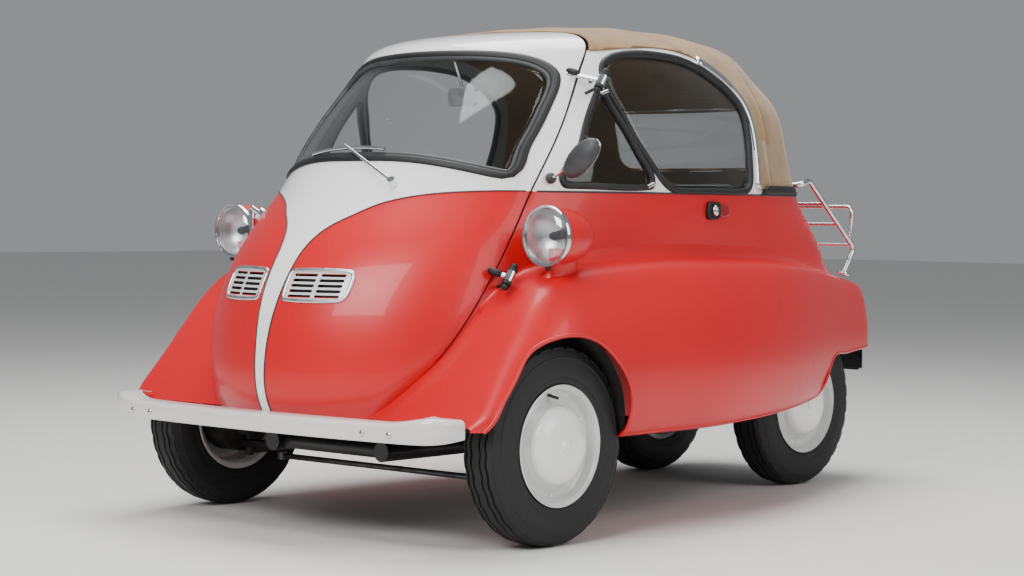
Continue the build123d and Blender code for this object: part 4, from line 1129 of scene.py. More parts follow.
@dataclass
class Coachwork:
    """The door, the cabin and the lower body as thin pressed panels."""

    paint: Finishes
    wall: float = 0.012
    flank_wall: float = 0.004
    sill: float = 0.3
    seal_inset: float = 0.007

    def build(self) -> None:
        """Make the panels and set them on their bodies."""
        self.whole = HULL.skin("whole_skin")
        self.build_door()
        self.build_cabin()
        self.build_lower_body()
        bpy.data.objects.remove(self.whole)

    def shell(self, name: str) -> Piece:
        """Copy the whole skin for a panel."""
        piece = copied(self.whole, name)
        dress(piece, self.paint.red, self.paint.inside)
        return piece

    def thicken(self, piece: Piece, wall: float) -> None:
        """Give a skin its wall, towards the inside."""
        modify(piece, "SOLIDIFY", thickness=wall, offset=-1.0, use_even_offset=True, material_offset=1,
               material_offset_rim=0)

    def two_tone(self, piece: Piece, name: str, outline: Sequence[Pair], low: float, high: float) -> Piece:
        """Split a panel's paint along an outline seen from the front.

        Args:
            piece: The red panel.
            name: The finished piece's name.
            outline: The white area's outline.
            low: Where the white area starts along the car.
            high: Where it ends.

        Returns:
            The panel in both colours.
        """
        area = prism(outline, Along.Y, low, high)
        white = copied(piece, "white")
        cut(white, area, "INTERSECT", keep=True)
        cut(piece, area)
        white.data.materials[0] = self.paint.white
        return joined([piece, white], name)

    def build_door(self) -> None:
        """Make the door that is the whole front, with its windscreen frame and header."""
        door = self.shell("door")
        slice_off(door, SEAM.at(-SEAM.gap), SEAM.normal())
        slice_off(door, (0, 0, self.sill), (0, 0, -1))
        self.thicken(door, self.wall)
        cut(door, prism(shrunk(ring(SCREEN), self.seal_inset), Along.Y, -1.3, -0.3))
        for side in SIDES:
            cut(door, prism(mirrored(GRILLE.outline(0.012), side), Along.Y, -1.3, -0.8))
        outline = [*SPLIT, *mirrored(SPLIT[::-1]), (-0.6, 1.5), (0.6, 1.5)]
        door = self.two_tone(door, "door_skin", outline, -1.3, 0.0)
        borrow_normals(door, self.whole)
        report(door, "door", "paint_red", "door_panel")

    def build_cabin(self) -> None:
        """Make the cabin's sides and rear below the canvas."""
        cabin = self.shell("cabin")
        slice_off(cabin, SEAM.top, -SEAM.normal())
        self.thicken(cabin, self.wall)
        cut(cabin, soft_block())
        for outline in (MAIN_WINDOW, QUARTER):
            cut(cabin, prism(shrunk(even(outline), self.seal_inset), Along.X, -0.8, 0.8))
        cut(cabin, block((-0.43, 0.43), (0.52, 1.05), (0.2, 0.545)))
        cabin = self.two_tone(cabin, "cabin_skin", corners(-0.7, 0.7, BELT_Z, 1.5), -0.8, 0.9)
        borrow_normals(cabin, self.whole)
        report(cabin, "body", "paint_red", "cabin_shell")

    def trim_tail(self, skin: Piece) -> Piece:
        """Copy the skin and cut it along the tail's lower edge, one straight stretch at a time.

        Args:
            skin: The open skin.

        Returns:
            The trimmed copy.
        """
        edge = TAIL_EDGE
        front = copied(skin, "front")
        slice_off(front, (0, edge[0][0], 0), (0, 1, 0))
        parts = [front]
        for (y0, z0), (y1, z1) in zip(edge, edge[1:]):
            part = copied(skin, "stretch")
            slice_off(part, (0, y0, 0), (0, -1, 0))
            if y1 < 1.2:
                slice_off(part, (0, y1, 0), (0, 1, 0))
            slice_off(part, (0, y0, z0), (0, z1 - z0, y0 - y1))
            parts.append(part)
        body = joined(parts, "lower_body")
        with editing(body):
            bpy.ops.mesh.remove_doubles(threshold=MERGE)
        return body

    def build_lower_body(self) -> None:
        """Make the wings, flanks and tail as one skin with its arches cut out."""
        skin = FlankSkin().skin("lower_skin")
        body = self.trim_tail(skin)
        dress(body, self.paint.red, self.paint.inside)
        self.thicken(body, self.flank_wall)
        core = HULL.skin("core", -self.wall / 2, floor=True)
        cut(body, core)
        for side in SIDES:
            cut(body, prism(front_arch(), Along.X, *sorted((side * 0.4, side * 0.8))))
        borrow_normals(body, skin, 0.0006)
        bpy.data.objects.remove(skin)
        body.name = body.data.name = "lower_body"
        report(body, "body", "paint_red", "front_wings", "tail_shell")


def front_arch(grow: float = 0.0) -> list[Pair]:
    """Outline the front wheel's opening in side view, larger by a margin.

    Args:
        grow: The margin.

    Returns:
        The outline, whose first 40 points follow the arch.
    """
    edge = along([(-0.972, 0.297), (-0.945, 0.333), (-0.924, 0.361), (-0.891, 0.398), (-0.856, 0.44), (-0.822, 0.479),
                  (-0.773, 0.507), (-0.693, 0.518), (-0.609, 0.497), (-0.562, 0.463), (-0.521, 0.421),
                  (-0.492, 0.375), (-0.48, 0.33), (-0.478, 0.285), (-0.48, 0.24)], 40)
    middle = np.array([-0.72, 0.3])
    away = edge - middle
    edge = edge + away / np.linalg.norm(away, axis=1, keepdims=True) * grow
    return [*map(tuple, edge), (-0.48, 0.1), (-1.1, 0.1), (-1.1, 0.297)]


def canvas_line() -> np.ndarray:
    """Trace the canvas's edge on the cabin's side in side view."""
    return along([(-0.42, 1.232), (-0.3, 1.236), (-0.2, 1.248), (-0.1, 1.256), (0.0, 1.256), (0.08, 1.246),
                  (0.16, 1.222), (0.225, 1.19), (0.272, 1.15), (0.302, 1.1), (0.314, 1.04), (0.314, 0.98),
                  (0.306, 0.92), (0.298, 0.882)], 60)


def soft_block() -> Piece:
    """Make the block over the side frames where the canvas lies."""
    return prism([*map(tuple, canvas_line()), (1.2, 0.882), (1.2, 1.6), (-0.42, 1.6)], Along.X, -0.8, 0.8)


# ---------------------------------------------------------------- lofted trim
def lofted(name: str, lines: Sequence[Sequence[Sequence[float]]], closed: bool) -> Piece:
    """Skin a bar whose section's corners follow lines.

    Args:
        name: The piece's name.
        lines: One line for each corner of the section, in order round it, with equal counts.
        closed: Whether the lines are rings.

    Returns:
        The bar, closed at its ends if it isn't a ring.
    """
    edges, count = len(lines), len(lines[0])
    faces = grid_faces(edges, count, ring=closed, tube=True)
    if not closed:
        faces.append([i * count for i in range(edges)][::-1])
        faces.append([i * count + count - 1 for i in range(edges)])
    piece = mesh_piece(name, [point for line in lines for point in line], faces)
    with editing(piece):
        bpy.ops.mesh.normals_make_consistent(inside=False)
    return piece


def gasket(name: str, seen: Along, outline: Sequence[Pair], section: Sequence[Pair], side: float = 1.0) -> Piece:
    """Lay a closed moulding round an outline on the skin.

    Args:
        name: The piece's name.
        seen: The axis that the outline is seen along.
        outline: The closed outline.
        section: The moulding's section as inset from the outline and height off the skin.
        side: The side of the car.

    Returns:
        The moulding.
    """
    return lofted(name, [on_skin(seen, shrunk(outline, inset), side, high) for inset, high in section], True)


def pane(name: str, seen: Along, outline: Sequence[Pair], side: float, outward: float, thick: float,
         rings: int = 10) -> Piece:
    """Make a curved sheet that fills an outline on the skin.

    Args:
        name: The piece's name.
        seen: The axis that the outline is seen along.
        outline: The closed outline.
        side: The side of the car.
        outward: Height of its outer face off the skin.
        thick: Its thickness.
        rings: Rings of faces from edge to middle.

    Returns:
        The sheet.
    """
    rows = np.array(outline)
    middle = rows.mean(0)
    points, count = [], len(rows)
    for i in range(rings):
        points += on_skin(seen, middle + (rows - middle) * (1 - i / rings), side, outward)
    points += on_skin(seen, [middle], side, outward)
    faces = grid_faces(rings, count, ring=True)
    last = (rings - 1) * count
    faces += [(last + j, last + (j + 1) % count, len(points) - 1) for j in range(count)]
    piece = mesh_piece(name, points, faces)
    _, normal = on_hull(seen, float(middle[0]), float(middle[1]), side)
    if piece.data.polygons[0].normal.dot(normal) < 0:
        piece.data.flip_normals()
    modify(piece, "SOLIDIFY", thickness=thick, offset=-1.0, use_even_offset=True)
    return piece


ROUND_BEAD = ((-0.0025, 0.0), (-0.0018, 0.0022), (0.0, 0.003), (0.0018, 0.0022), (0.0025, 0.0), (0.0, -0.002))


@dataclass
class Glazing:
    """Windscreen and side windows with their rubber seals."""

    paint: Finishes
    glass: float = 0.005
    screen_seal: tuple[Pair, ...] = ((-0.003, -0.004), (-0.003, 0.003), (0.0, 0.0062), (0.005, 0.0075),
                                     (0.01, 0.007), (0.0145, 0.003), (0.0145, -0.011), (0.004, -0.014))
    screen_bead: tuple[Pair, ...] = ((0.0128, -0.002), (0.0125, 0.0025), (0.0155, 0.0052), (0.0195, 0.003),
                                     (0.021, -0.002), (0.0185, -0.009))
    side_seal: tuple[Pair, ...] = ((-0.003, -0.004), (-0.003, 0.003), (0.001, 0.0068), (0.007, 0.0075),
                                   (0.012, 0.005), (0.0145, 0.0), (0.0145, -0.011), (0.004, -0.014))

    def build(self) -> None:
        """Make the glass, the seals and the quarter window's catches."""
        screen = ring(SCREEN, 120)
        seal = gasket("seal", Along.Y, screen, self.screen_seal)
        fit([seal], "windscreen_rubber", self.paint.rubber, "door", "rubber", "windscreen_seal")
        bead = gasket("bead", Along.Y, screen, self.screen_bead)
        fit([bead], "windscreen_bead", self.paint.grey_rubber, "door", "rubber")
        glass = pane("glass", Along.Y, shrunk(screen, 0.01), 1.0, -0.004, self.glass, 14)
        fit([glass], "windscreen_glass", self.paint.glass, "door", "glass", "windscreen")
        seals, panes = [], []
        for side in SIDES:
            for outline in (MAIN_WINDOW, QUARTER):
                edge = even(outline, 110)
                seals.append(gasket("seal", Along.X, edge, self.side_seal, side))
                panes.append(pane("pane", Along.X, shrunk(edge, 0.011), side, -0.004, self.glass))
        fit(seals, "side_window_rubbers", self.paint.rubber, "body", "rubber", "side_window_seals")
        fit(panes, "side_window_glass", self.paint.glass, "body", "glass", "side_windows")
        self.build_catches()

    def build_catches(self) -> None:
        """Make the two chrome catches of each hinged quarter window."""
        made = []
        for side in SIDES:
            for y, z in ((-0.339, 1.118), (-0.232, 0.884)):
                place, normal = on_hull(Along.X, y, z, side)
                foot, head = place - normal * 0.004, place + normal * 0.016
                made.append(tube("stem", [foot, head], 0.0045, sides=4))
                knob = tube("knob", [head - Vector((0, 0.012, 0.004)), head, head + Vector((0, 0.014, 0.004))], 0.0055,
                            sides=4)
                modify(knob, "SUBSURF", levels=1, render_levels=1)
                made.append(knob)
        fit(made, "quarter_window_catches", self.paint.chrome, "body", "chrome")


@dataclass
class Trim:
    """Beads, lips and rubbers along the panels' edges, the wheel wells and the grille plates."""

    paint: Finishes
    fillet: float = 0.042
    fillet_steps: int = 8
    deck_start: float = 0.69
    sunk: float = 0.0004
    arch_lip: float = 0.0055
    sill_lip: float = 0.004
    tail_lip: float = 0.0045
    well_inner: float = 0.47
    well_outer: float = 0.642
    grille_frame: tuple[Pair, ...] = ((-0.005, -0.001), (-0.004, 0.004), (0.0, 0.006), (0.004, 0.0045),
                                      (0.0055, 0.0005), (0.0, -0.003))

    def build(self) -> None:
        """Make every trim piece."""
        self.deck = probed(FlankSkin().skin("deck_probe"))
        self.build_belt()
        self.build_fillet()
        self.build_lips()
        self.build_wells()
        self.build_door_rubber()
        self.build_grilles()

    def belt_line(self, z: float, front: float, outward: float) -> list[Vector]:
        """Trace the skin at a height, from the seam over the rear to the other side's seam.

        Args:
            z: The height.
            front: Where it starts along the car.
            outward: How far it stands off the skin.

        Returns:
            Points on the trace.
        """
        made = [place + normal * outward for place, normal in HULL.level(z)]
        fine = [a.lerp(b, k / 6) for a, b in zip(made, made[1:] + made[:1], strict=True) for k in range(6)]
        return [point for point in fine if point.y > front]

    def drop(self, place: Vector) -> Vector | None:
        """Find the deck straight below or above a place."""
        return self.deck.ray_cast(Vector((*place.xy, FAR)), Vector((0, 0, -1)))[0]

    def build_belt(self) -> None:
        """Make the thin dark bead between the two colours, on the door and round the cabin."""
        back = [self.belt_line(BELT_Z + inset, SEAM.y(BELT_Z) + 0.008, high) for inset, high in ROUND_BEAD]
        fit([lofted("bead", back, False)], "belt_bead_cabin", self.paint.grey_rubber, "body", "rubber")
        sides = []
        for side in SIDES:
            line = along([(side * x, z) for x, z in SPLIT if x < 0.45 and z > 0.304], 90)
            on = [on_hull(Along.Y, float(x), float(z)) for x, z in line]
            on = [(place, normal) for place, normal in on if place.y < SEAM.y(place.z) - 0.007]
            ahead = np.gradient(np.array([place for place, _ in on]), axis=0)
            lines = []
            for inset, high in ROUND_BEAD:
                lines.append([place + normal.cross(Vector(way)).normalized() * inset * 0.8 + normal * high * 0.8
                              for (place, normal), way in zip(on, ahead, strict=True)])
            sides.append(lofted("bead", lines, False))
        fit(sides, "belt_bead_door", self.paint.grey_rubber, "door", "rubber")

    def build_fillet(self) -> None:
        """Make the rolled joint between the cabin's side and the wings, flanks and tail."""
        rows: list[list[Vector]] = []
        for j in range(HULL.grid.shape[1]):
            z = self.deck_start
            for _ in range(4):
                corner = HULL.at(j, z)[0]
                hit = self.drop(corner)
                z = hit.z if hit else z
            if corner.y < SEAM.y(z) + 0.006:
                continue
            corner.z = z
            outward = Vector((*HULL.at(j, z)[1].xy, 0.0)).normalized()
            reach = self.fillet * min(1.0, 0.45 + max(0.0, (corner.y + 0.72)) * 1.4)
            out = corner + outward * reach
            top = HULL.at(j, z + reach)[0] - outward * self.sunk
            low = (self.drop(out) or out) - Vector((0, 0, self.sunk))
            shares = [i / self.fillet_steps for i in range(self.fillet_steps + 1)]
            rows.append([(1 - t) ** 2 * top + 2 * t * (1 - t) * corner + t * t * low for t in shares])
        start = next((i for i in range(1, len(rows)) if (rows[i][0] - rows[i - 1][0]).length > 0.3), 0)
        rows = rows[start:] + rows[:start]
        points = [row[i] for i in range(self.fillet_steps + 1) for row in rows]
        piece = mesh_piece("fillet", points, grid_faces(self.fillet_steps + 1, len(rows)))
        if piece.data.polygons[len(rows) // 4].normal.z < 0:
            piece.data.flip_normals()
        modify(piece, "SOLIDIFY", thickness=0.003, offset=-1.0)
        fit([piece], "cabin_fillet", self.paint.red, "body", "paint_red")

    def build_lips(self) -> None:
        """Make the rolled edges round the front arches and under the flanks."""
        made = []
        arch = front_arch()[:40]
        under = [(-0.476, 0.262), (-0.3, 0.262), (0.0, 0.264), (0.3, 0.274), (0.5, 0.2845), (0.566, 0.289)]
        rise = [*TAIL_EDGE[1:-1], (0.8, 0.4055), (0.95, 0.4075), (1.06, 0.409), (1.1, 0.4095)]
        for side in SIDES:
            for edge, thick in ((arch, self.arch_lip), (under, self.sill_lip), (rise, self.tail_lip)):
                hits = [self.deck.ray_cast(Vector((side * FAR, y, z)), Vector((-side, 0, 0)))[0] for y, z in edge]
                line = [hit - Vector((side, 0, 0)) * (thick * 0.35) for hit in hits if hit and abs(hit.x) > 0.12]
                made.append(tube("lip", along(line, 60), thick))
        fit(made, "rolled_lips", self.paint.red, "body", "paint_red")

    def build_wells(self) -> None:
        """Make the dark wheel wells behind the front arches."""
        made, outline = [], []
        for y, z in front_arch(0.016)[:40]:
            hit = self.deck.ray_cast(Vector((FAR, y, z)), Vector((-1, 0, 0)))[0]
            if hit and hit.x > 0.6:
                outline.append((y, z, min(self.well_outer, hit.x - 0.01)))
        for side in SIDES:
            points = [(side * (self.well_inner + (edge - self.well_inner) * share), y, z)
                      for share in (0.0, 0.35, 0.7, 1.0) for y, z, edge in outline]
            well = mesh_piece("well", points, grid_faces(4, len(outline)))
            modify(well, "SOLIDIFY", thickness=0.002, offset=0.0)
            made.append(well)
        fit(made, "wheel_wells", self.paint.underseal, "body", "paint_black")

    def build_door_rubber(self) -> None:
        """Make the rubber that fills the joint between door and cabin."""
        skin = HULL.skin("door_rubber", -0.0045)
        slice_off(skin, SEAM.at(0.002), SEAM.normal())
        slice_off(skin, SEAM.at(-0.0045), -SEAM.normal())
        slice_off(skin, (0, 0, 0.302), (0, 0, -1))
        modify(skin, "SOLIDIFY", thickness=0.012, offset=-1.0)
        fit([skin], "door_rubber", self.paint.rubber, "body", "rubber")

    def build_grilles(self) -> None:
        """Make the two slotted plates with rolled frames and a dark back."""
        plates, frames, backs = [], [], []
        for side in SIDES:
            fine = even(mirrored(GRILLE.outline(0.004), side)[:: int(side)], 72)
            plate = pane("plate", Along.Y, fine, 1.0, 0.001, 0.002, 8)
            for slot in GRILLE.slots(side):
                cut(plate, slot)
            plates.append(plate)
            frames.append(gasket("frame", Along.Y, fine, self.grille_frame))
            backs.append(pane("back", Along.Y, fine, 1.0, -0.02, 0.002, 6))
        for parts, name, finish, nodes in ((plates, "grille_plates", self.paint.wheel, ("grilles",)),
                                           (frames, "grille_frames", self.paint.alloy, ()),
                                           (backs, "grille_backs", self.paint.underseal, ())):
            if name != "grille_frames":
                for part in parts:
                    part.data.shade_flat()
            fit(parts, name, finish, "door", "wheel_silver", *nodes)


@dataclass
class Hood:
    """The folding roof, the rear canvas with its window, the bows and the trim that holds them."""

    paint: Finishes
    bow_y: float = 0.385
    bows: tuple[float, ...] = (-0.16, 0.06, 0.24)
    cloth: float = 0.0035
    window: Pair = (0.56, 0.19)
    window_z: float = 1.035
    hem_z: float = 0.88
    hem: tuple[Pair, ...] = ((-0.013, 0.003), (-0.012, 0.0085), (0.012, 0.0085), (0.013, 0.003))
    band: tuple[Pair, ...] = ((-0.012, 0.0035), (-0.011, 0.0062), (0.0, 0.0068), (0.012, 0.0058), (0.013, 0.002),
                              (0.0, 0.001))
    moulding: tuple[Pair, ...] = ((-0.018, 0.0), (-0.017, 0.0065), (-0.01, 0.0105), (0.0, 0.0105), (0.006, 0.0075),
                                  (0.007, 0.002), (0.0, 0.0))

    def build(self) -> None:
        """Make the hood's pieces."""
        self.build_cloth()
        self.build_window()
        self.build_hems()
        self.build_bows()
        self.build_moulding()

    def fullness(self, points: np.ndarray) -> np.ndarray:
        """Say how far the stretched cloth stands off the form: high on its bows, slack between them.

        Args:
            points: The form's points.

        Returns:
            The distance at each point.
        """
        x, y, z = points.T
        # The roof stands 1.5 mm up on each bow and hangs 2 mm between them.
        high = np.clip((z - 1.22) / 0.06, 0, 1)
        on_bow = sum(np.exp(-((y - bow) / 0.02) ** 2) for bow in self.bows)
        slack = 0.5 - 0.5 * np.cos((y + 0.16) / 0.21 * 2 * np.pi)
        rise = high * (0.0015 * on_bow - 0.002 * slack)
        # Upright ripples of 2.2 mm round the rear, which fade out above the hem and below the roof.
        low = np.clip((1.2 - z) / 0.1, 0, 1) * np.clip((y - 0.26) / 0.06, 0, 1)
        turn = np.arctan2(x, np.maximum(y - 0.1, 0.05))
        fade = np.clip((z - 0.9) / 0.05, 0, 1) * np.clip((1.16 - z) / 0.05, 0, 1)
        ripple = 0.0022 * np.sin(turn * 19 + z * 14) * fade
        # Slanting pulls of 0.7 mm over the roof.
        pull = 0.0007 * np.sin(x * 40 + y * 22) * high
        return self.cloth + rise + low * ripple + pull

    def build_cloth(self) -> None:
        """Make the roof canvas and the rear canvas as stretched sheets."""
        for name, node, flat in (("roof_cloth", "roof_canvas", (1.02, 0.86)),
                                 ("rear_cloth", "rear_canvas", (1.12, 0.56))):
            roof = name == "roof_cloth"
            cloth = HULL.skin(name)
            mesh = cloth.data
            points = np.array([v.co for v in mesh.vertices])
            normals = np.array([v.normal for v in mesh.vertices])
            lift = self.fullness(points)[:, None]
            mesh.vertices.foreach_set("co", (points + normals * lift).ravel())
            slice_off(cloth, SEAM.at(0.001), -SEAM.normal())
            slice_off(cloth, (0, self.bow_y, 0), (0, 1 if roof else -1, 0))
            slice_off(cloth, (0, 0, 0.85), (0, 0, -1))
            modify(cloth, "SOLIDIFY", thickness=self.cloth, offset=-1.0)
            cut(cloth, soft_block(), "INTERSECT")
            if not roof:
                cut(cloth, prism(rounded(self.opening(0.012), 0.04), Along.Y, 0.3, 1.0))
            cloth.data.shade_smooth()
            fit([cloth], name, self.paint.canvas, "body", "canvas", node)

    def opening(self, inset: float) -> list[Pair]:
        """Draw the rear window's corners, smaller by an inset."""
        half, tall = self.window[0] / 2 - inset, self.window[1] / 2 - inset
        return corners(-half, half, self.window_z - tall, self.window_z + tall)

    def outline(self, inset: float) -> list[Pair]:
        """Draw the rear window's rounded outline, smaller by an inset."""
        return even(rounded(self.opening(inset), 0.045, 8), 120)

    def build_window(self) -> None:
        """Make the flexible rear window and the stitched band round it."""
        sheet = pane("rear_window_sheet", Along.Y, self.outline(0.004), -1.0, 0.0005, 0.0015, 10)
        fit([sheet], "rear_window_sheet", self.paint.sheet, "body", "clear_plastic", "rear_window")
        band = gasket("band", Along.Y, self.outline(0.0), self.band, -1.0)
        fit([band], "rear_window_band", self.paint.canvas, "body", "canvas")

    def build_hems(self) -> None:
        """Make the black band along the canvas's lower edge."""
        band = [[place + normal * high for place, normal in HULL.level(self.hem_z + inset) if place.y > 0.304]
                for inset, high in self.hem]
        fit([lofted("band", band, False)], "canvas_lower_band", self.paint.rubber, "body", "rubber")

    def build_bows(self) -> None:
        """Make the three steel bows under the roof and the last one at the rear edge."""
        made = []
        for y in (*self.bows, self.bow_y - 0.004):
            share = 1.0 if y < 0.3 else 0.72
            across = [(float(x) * share, y) for x in np.linspace(-0.33, 0.33, 24)]
            made.append(tube("bow", on_skin(Along.Z, across, outward=-0.011), 0.006))
        fit(made, "hood_bows", self.paint.black, "body", "paint_black")

    def build_moulding(self) -> None:
        """Make the chrome moulding that holds the canvas along each side."""
        line = canvas_line()
        out = left_of(np.gradient(line, axis=0))
        keep = line[:, 0] > 0.115
        made = [lofted("moulding", [on_skin(Along.X, line[keep] + out[keep] * shift, side, high)
                                    for shift, high in self.moulding], False) for side in SIDES]
        fit(made, "canvas_moulding", self.paint.chrome, "body", "chrome")


# ---------------------------------------------------------------- wheels and fittings
def recalculated(piece: Piece) -> Piece:
    """Merge a closed piece's doubles and point its faces outwards."""
    with editing(piece):
        bpy.ops.mesh.remove_doubles(threshold=MERGE)
        bpy.ops.mesh.normals_make_consistent(inside=False)
    piece.data.shade_smooth()
    return piece


def crisp(piece: Piece, degrees: float) -> Piece:
    """Shade a piece smooth apart from edges sharper than an angle."""
    select_only(piece)
    bpy.ops.object.shade_smooth_by_angle(angle=math.radians(degrees))
    return piece


def turned(name: str, profile: Sequence[Pair], centre: Sequence[float], axis: Sequence[float], steps: int = 48,
           sharp: float = 40.0) -> Piece:
    """Spin a profile round an axis, as on a lathe.

    Args:
        name: The piece's name.
        profile: Radius and distance along the axis, from the axis or closed on itself.
        centre: Where the axis starts.
        axis: Its direction.
        steps: Faces round it.
        sharp: Angle in degrees past which an edge stays crisp.

    Returns:
        The turned piece.
    """
    way = Vector(axis).normalized()
    out = way.orthogonal().normalized()
    points = [Vector(centre) + out * radius + way * far for radius, far in profile]
    mesh = bpy.data.meshes.new(name)
    mesh.from_pydata(points, [(i, i + 1) for i in range(len(points) - 1)], [])
    piece = linked(name, mesh)
    with editing(piece):
        bpy.ops.mesh.spin(steps=steps, angle=2 * math.pi, center=tuple(centre), axis=tuple(way), dupli=False)
    return crisp(recalculated(piece), sharp)


def swelled(name: str, stations: Sequence[tuple[Sequence[float], float, float]], first: Sequence[float],
            second: Sequence[float], sides: int = 24) -> Piece:
    """Skin ellipses along a line, closed at both ends.

    Args:
        name: The piece's name.
        stations: Centre and the two half sizes of each ellipse.
        first: Direction of the first half size.
        second: Direction of the second.
        sides: Points round it.

    Returns:
        The piece.
    """
    a, b = Vector(first).normalized(), Vector(second).normalized()
    points = []
    for centre, wide, tall in stations:
        for k in range(sides):
            turn = 2 * math.pi * k / sides
            points.append(Vector(centre) + a * wide * math.cos(turn) + b * tall * math.sin(turn))
    ends = [range(sides), range((len(stations) - 1) * sides, len(stations) * sides)]
    return recalculated(mesh_piece(name, points, [*grid_faces(len(stations), sides, ring=True), *ends]))


@dataclass
class Wheel:
    """One wheel: tyre with its tread, pressed rim, domed cap, rivets and valve."""

    centre: Triple
    side: float
    tyre_profile: tuple[Pair, ...] = (
        (0.138, 0.04), (0.1455, 0.0455), (0.15, 0.05), (0.152, 0.052), (0.155, 0.0538), (0.166, 0.0556),
        (0.169, 0.0548), (0.171, 0.0558), (0.19, 0.056), (0.205, 0.0548), (0.2135, 0.053), (0.216, 0.0538),
        (0.2175, 0.0522), (0.228, 0.0488), (0.236, 0.0445), (0.2385, 0.0452), (0.2425, 0.04), (0.2445, 0.0345),
        (0.2395, 0.033), (0.2395, 0.029), (0.2453, 0.0275), (0.2465, 0.017), (0.241, 0.0155),
        (0.241, 0.012), (0.2467, 0.0105), (0.247, 0.0))
    rim_profile: tuple[Pair, ...] = (
        (0.1475, 0.057), (0.1497, 0.0555), (0.148, 0.0525), (0.141, 0.05), (0.1385, 0.046), (0.137, 0.034),
        (0.134, 0.0275), (0.126, 0.0235), (0.118, 0.0235), (0.11, 0.0275), (0.102, 0.037), (0.09, 0.042),
        (0.06, 0.044), (0.025, 0.044), (0.025, 0.04), (0.06, 0.04), (0.088, 0.038), (0.099, 0.033),
        (0.107, 0.024), (0.116, 0.0195), (0.123, 0.017), (0.126, 0.0), (0.129, -0.03), (0.133, -0.039),
        (0.142, -0.045), (0.149, -0.05), (0.1475, -0.0535), (0.144, -0.051), (0.136, -0.046),
        (0.1375, -0.04), (0.134, -0.028), (0.133, 0.0), (0.135, 0.028), (0.14, 0.04), (0.141, 0.0455),
        (0.1435, 0.052), (0.1475, 0.057))
    cap_profile: tuple[Pair, ...] = (
        (0.0, 0.079), (0.0155, 0.0788), (0.0172, 0.0778), (0.018, 0.0745), (0.02, 0.0738), (0.04, 0.0736),
        (0.06, 0.0718), (0.074, 0.0688), (0.0765, 0.0672), (0.079, 0.0668), (0.086, 0.063), (0.0925, 0.056),
        (0.0955, 0.049), (0.096, 0.0405), (0.0935, 0.0405), (0.0925, 0.048), (0.086, 0.06), (0.06, 0.069),
        (0.0, 0.075))
    rivets: int = 6
    rivet_circle: float = 0.121
    rivet: tuple[Pair, ...] = ((-0.003, 0.0048), (0.003, 0.0046), (0.0055, 0.0026))
    tyre_steps: int = 120
    zigzag: float = 0.0015

    def tyre(self) -> Piece:
        """Make the tyre, its outer ribs cut in zigzags."""
        half = self.tyre_profile
        bore = [(0.1375, -0.03), (0.1375, 0.03), half[0]]
        profile = [*half, *[(r, -w) for r, w in half[-2::-1]], *bore]
        piece = turned("tyre", profile, self.centre, (self.side, 0, 0), self.tyre_steps, 28.0)
        middle = Vector(self.centre)
        for vertex in piece.data.vertices:
            away = vertex.co - middle
            radius = math.hypot(away.y, away.z)
            step = round(math.atan2(away.z, away.y) / (2 * math.pi) * self.tyre_steps) % 4
            if radius > 0.2385 and 0.008 < abs(away.x) < 0.036:
                vertex.co.x += self.zigzag if step < 2 else -self.zigzag
            if 0.238 < radius < 0.2448 and abs(away.x) > 0.036 and step == 0:
                vertex.co = middle + Vector((away.x, away.y * 0.985, away.z * 0.985))
        return piece

    def metal(self) -> tuple[Piece, Piece, Piece]:
        """Make the rim, the cap and its rivets, and the valve."""
        way = Vector((self.side, 0, 0))
        rim = turned("rim", self.rim_profile, self.centre, way, 72, 35.0)
        cap = turned("cap", self.cap_profile, self.centre, way, 64, 45.0)
        caps = [cap]
        for count in range(self.rivets):
            turn = 0.5 + 2 * math.pi * count / self.rivets
            spoke = Vector((0, math.cos(turn), math.sin(turn)))
            place = Vector(self.centre) + way * 0.024 + spoke * self.rivet_circle
            rows = [(place + way * far, wide, wide) for far, wide in self.rivet]
            caps.append(swelled("rivet", rows, (0, 1, 0), (0, 0, 1), 12))
        up = Vector((0, -0.1, 0.995)).normalized()
        foot = Vector(self.centre) + way * 0.025 + up * 0.124
        valve = tube("valve", [foot, foot + way * 0.012 - up * 0.003, foot + way * 0.03 - up * 0.006], 0.0038, sides=4)
        return rim, joined(caps, "cap"), valve


@dataclass
class Wheels:
    """All four wheels on their bodies."""

    paint: Finishes
    front: Triple = (0.58, -0.7, 0.247)
    rear: Triple = (0.27, 0.8, 0.247)

    def build(self) -> None:
        """Make the front wheels one by one and the rear wheels as a pair."""
        for side, word in zip(SIDES, ("left", "right"), strict=True):
            wheel = Wheel((side * self.front[0], *self.front[1:]), side)
            self.finish([wheel], f"wheel_front_{word}", f"front_{word}", f"front_tyre_{word}", f"front_rim_{word}")
        pair = [Wheel((side * self.rear[0], *self.rear[1:]), side) for side in SIDES]
        self.finish(pair, "rear_axle", "rear", "rear_tyres", "rear_rims")

    def finish(self, wheels: Sequence[Wheel], body: str, word: str, tyres: str, rims: str) -> None:
        """Dress wheels and set them on their body.

        Args:
            wheels: The wheels of one body.
            body: The body's name.
            word: Where they are, for the pieces' names.
            tyres: The tyre node that they replace.
            rims: The rim node that they replace.
        """
        fit([wheel.tyre() for wheel in wheels], f"{word}_tyre_treaded", self.paint.tyre, body, "tyre", tyres)
        rim, cap, valve = zip(*(wheel.metal() for wheel in wheels), strict=True)
        fit(rim, f"{word}_rim_pressed", self.paint.wheel, body, "wheel_silver", rims)
        fit(cap, f"{word}_cap_domed", self.paint.white, body, "wheel_silver")
        fit(valve, f"{word}_valve", self.paint.rubber, body, "rubber")


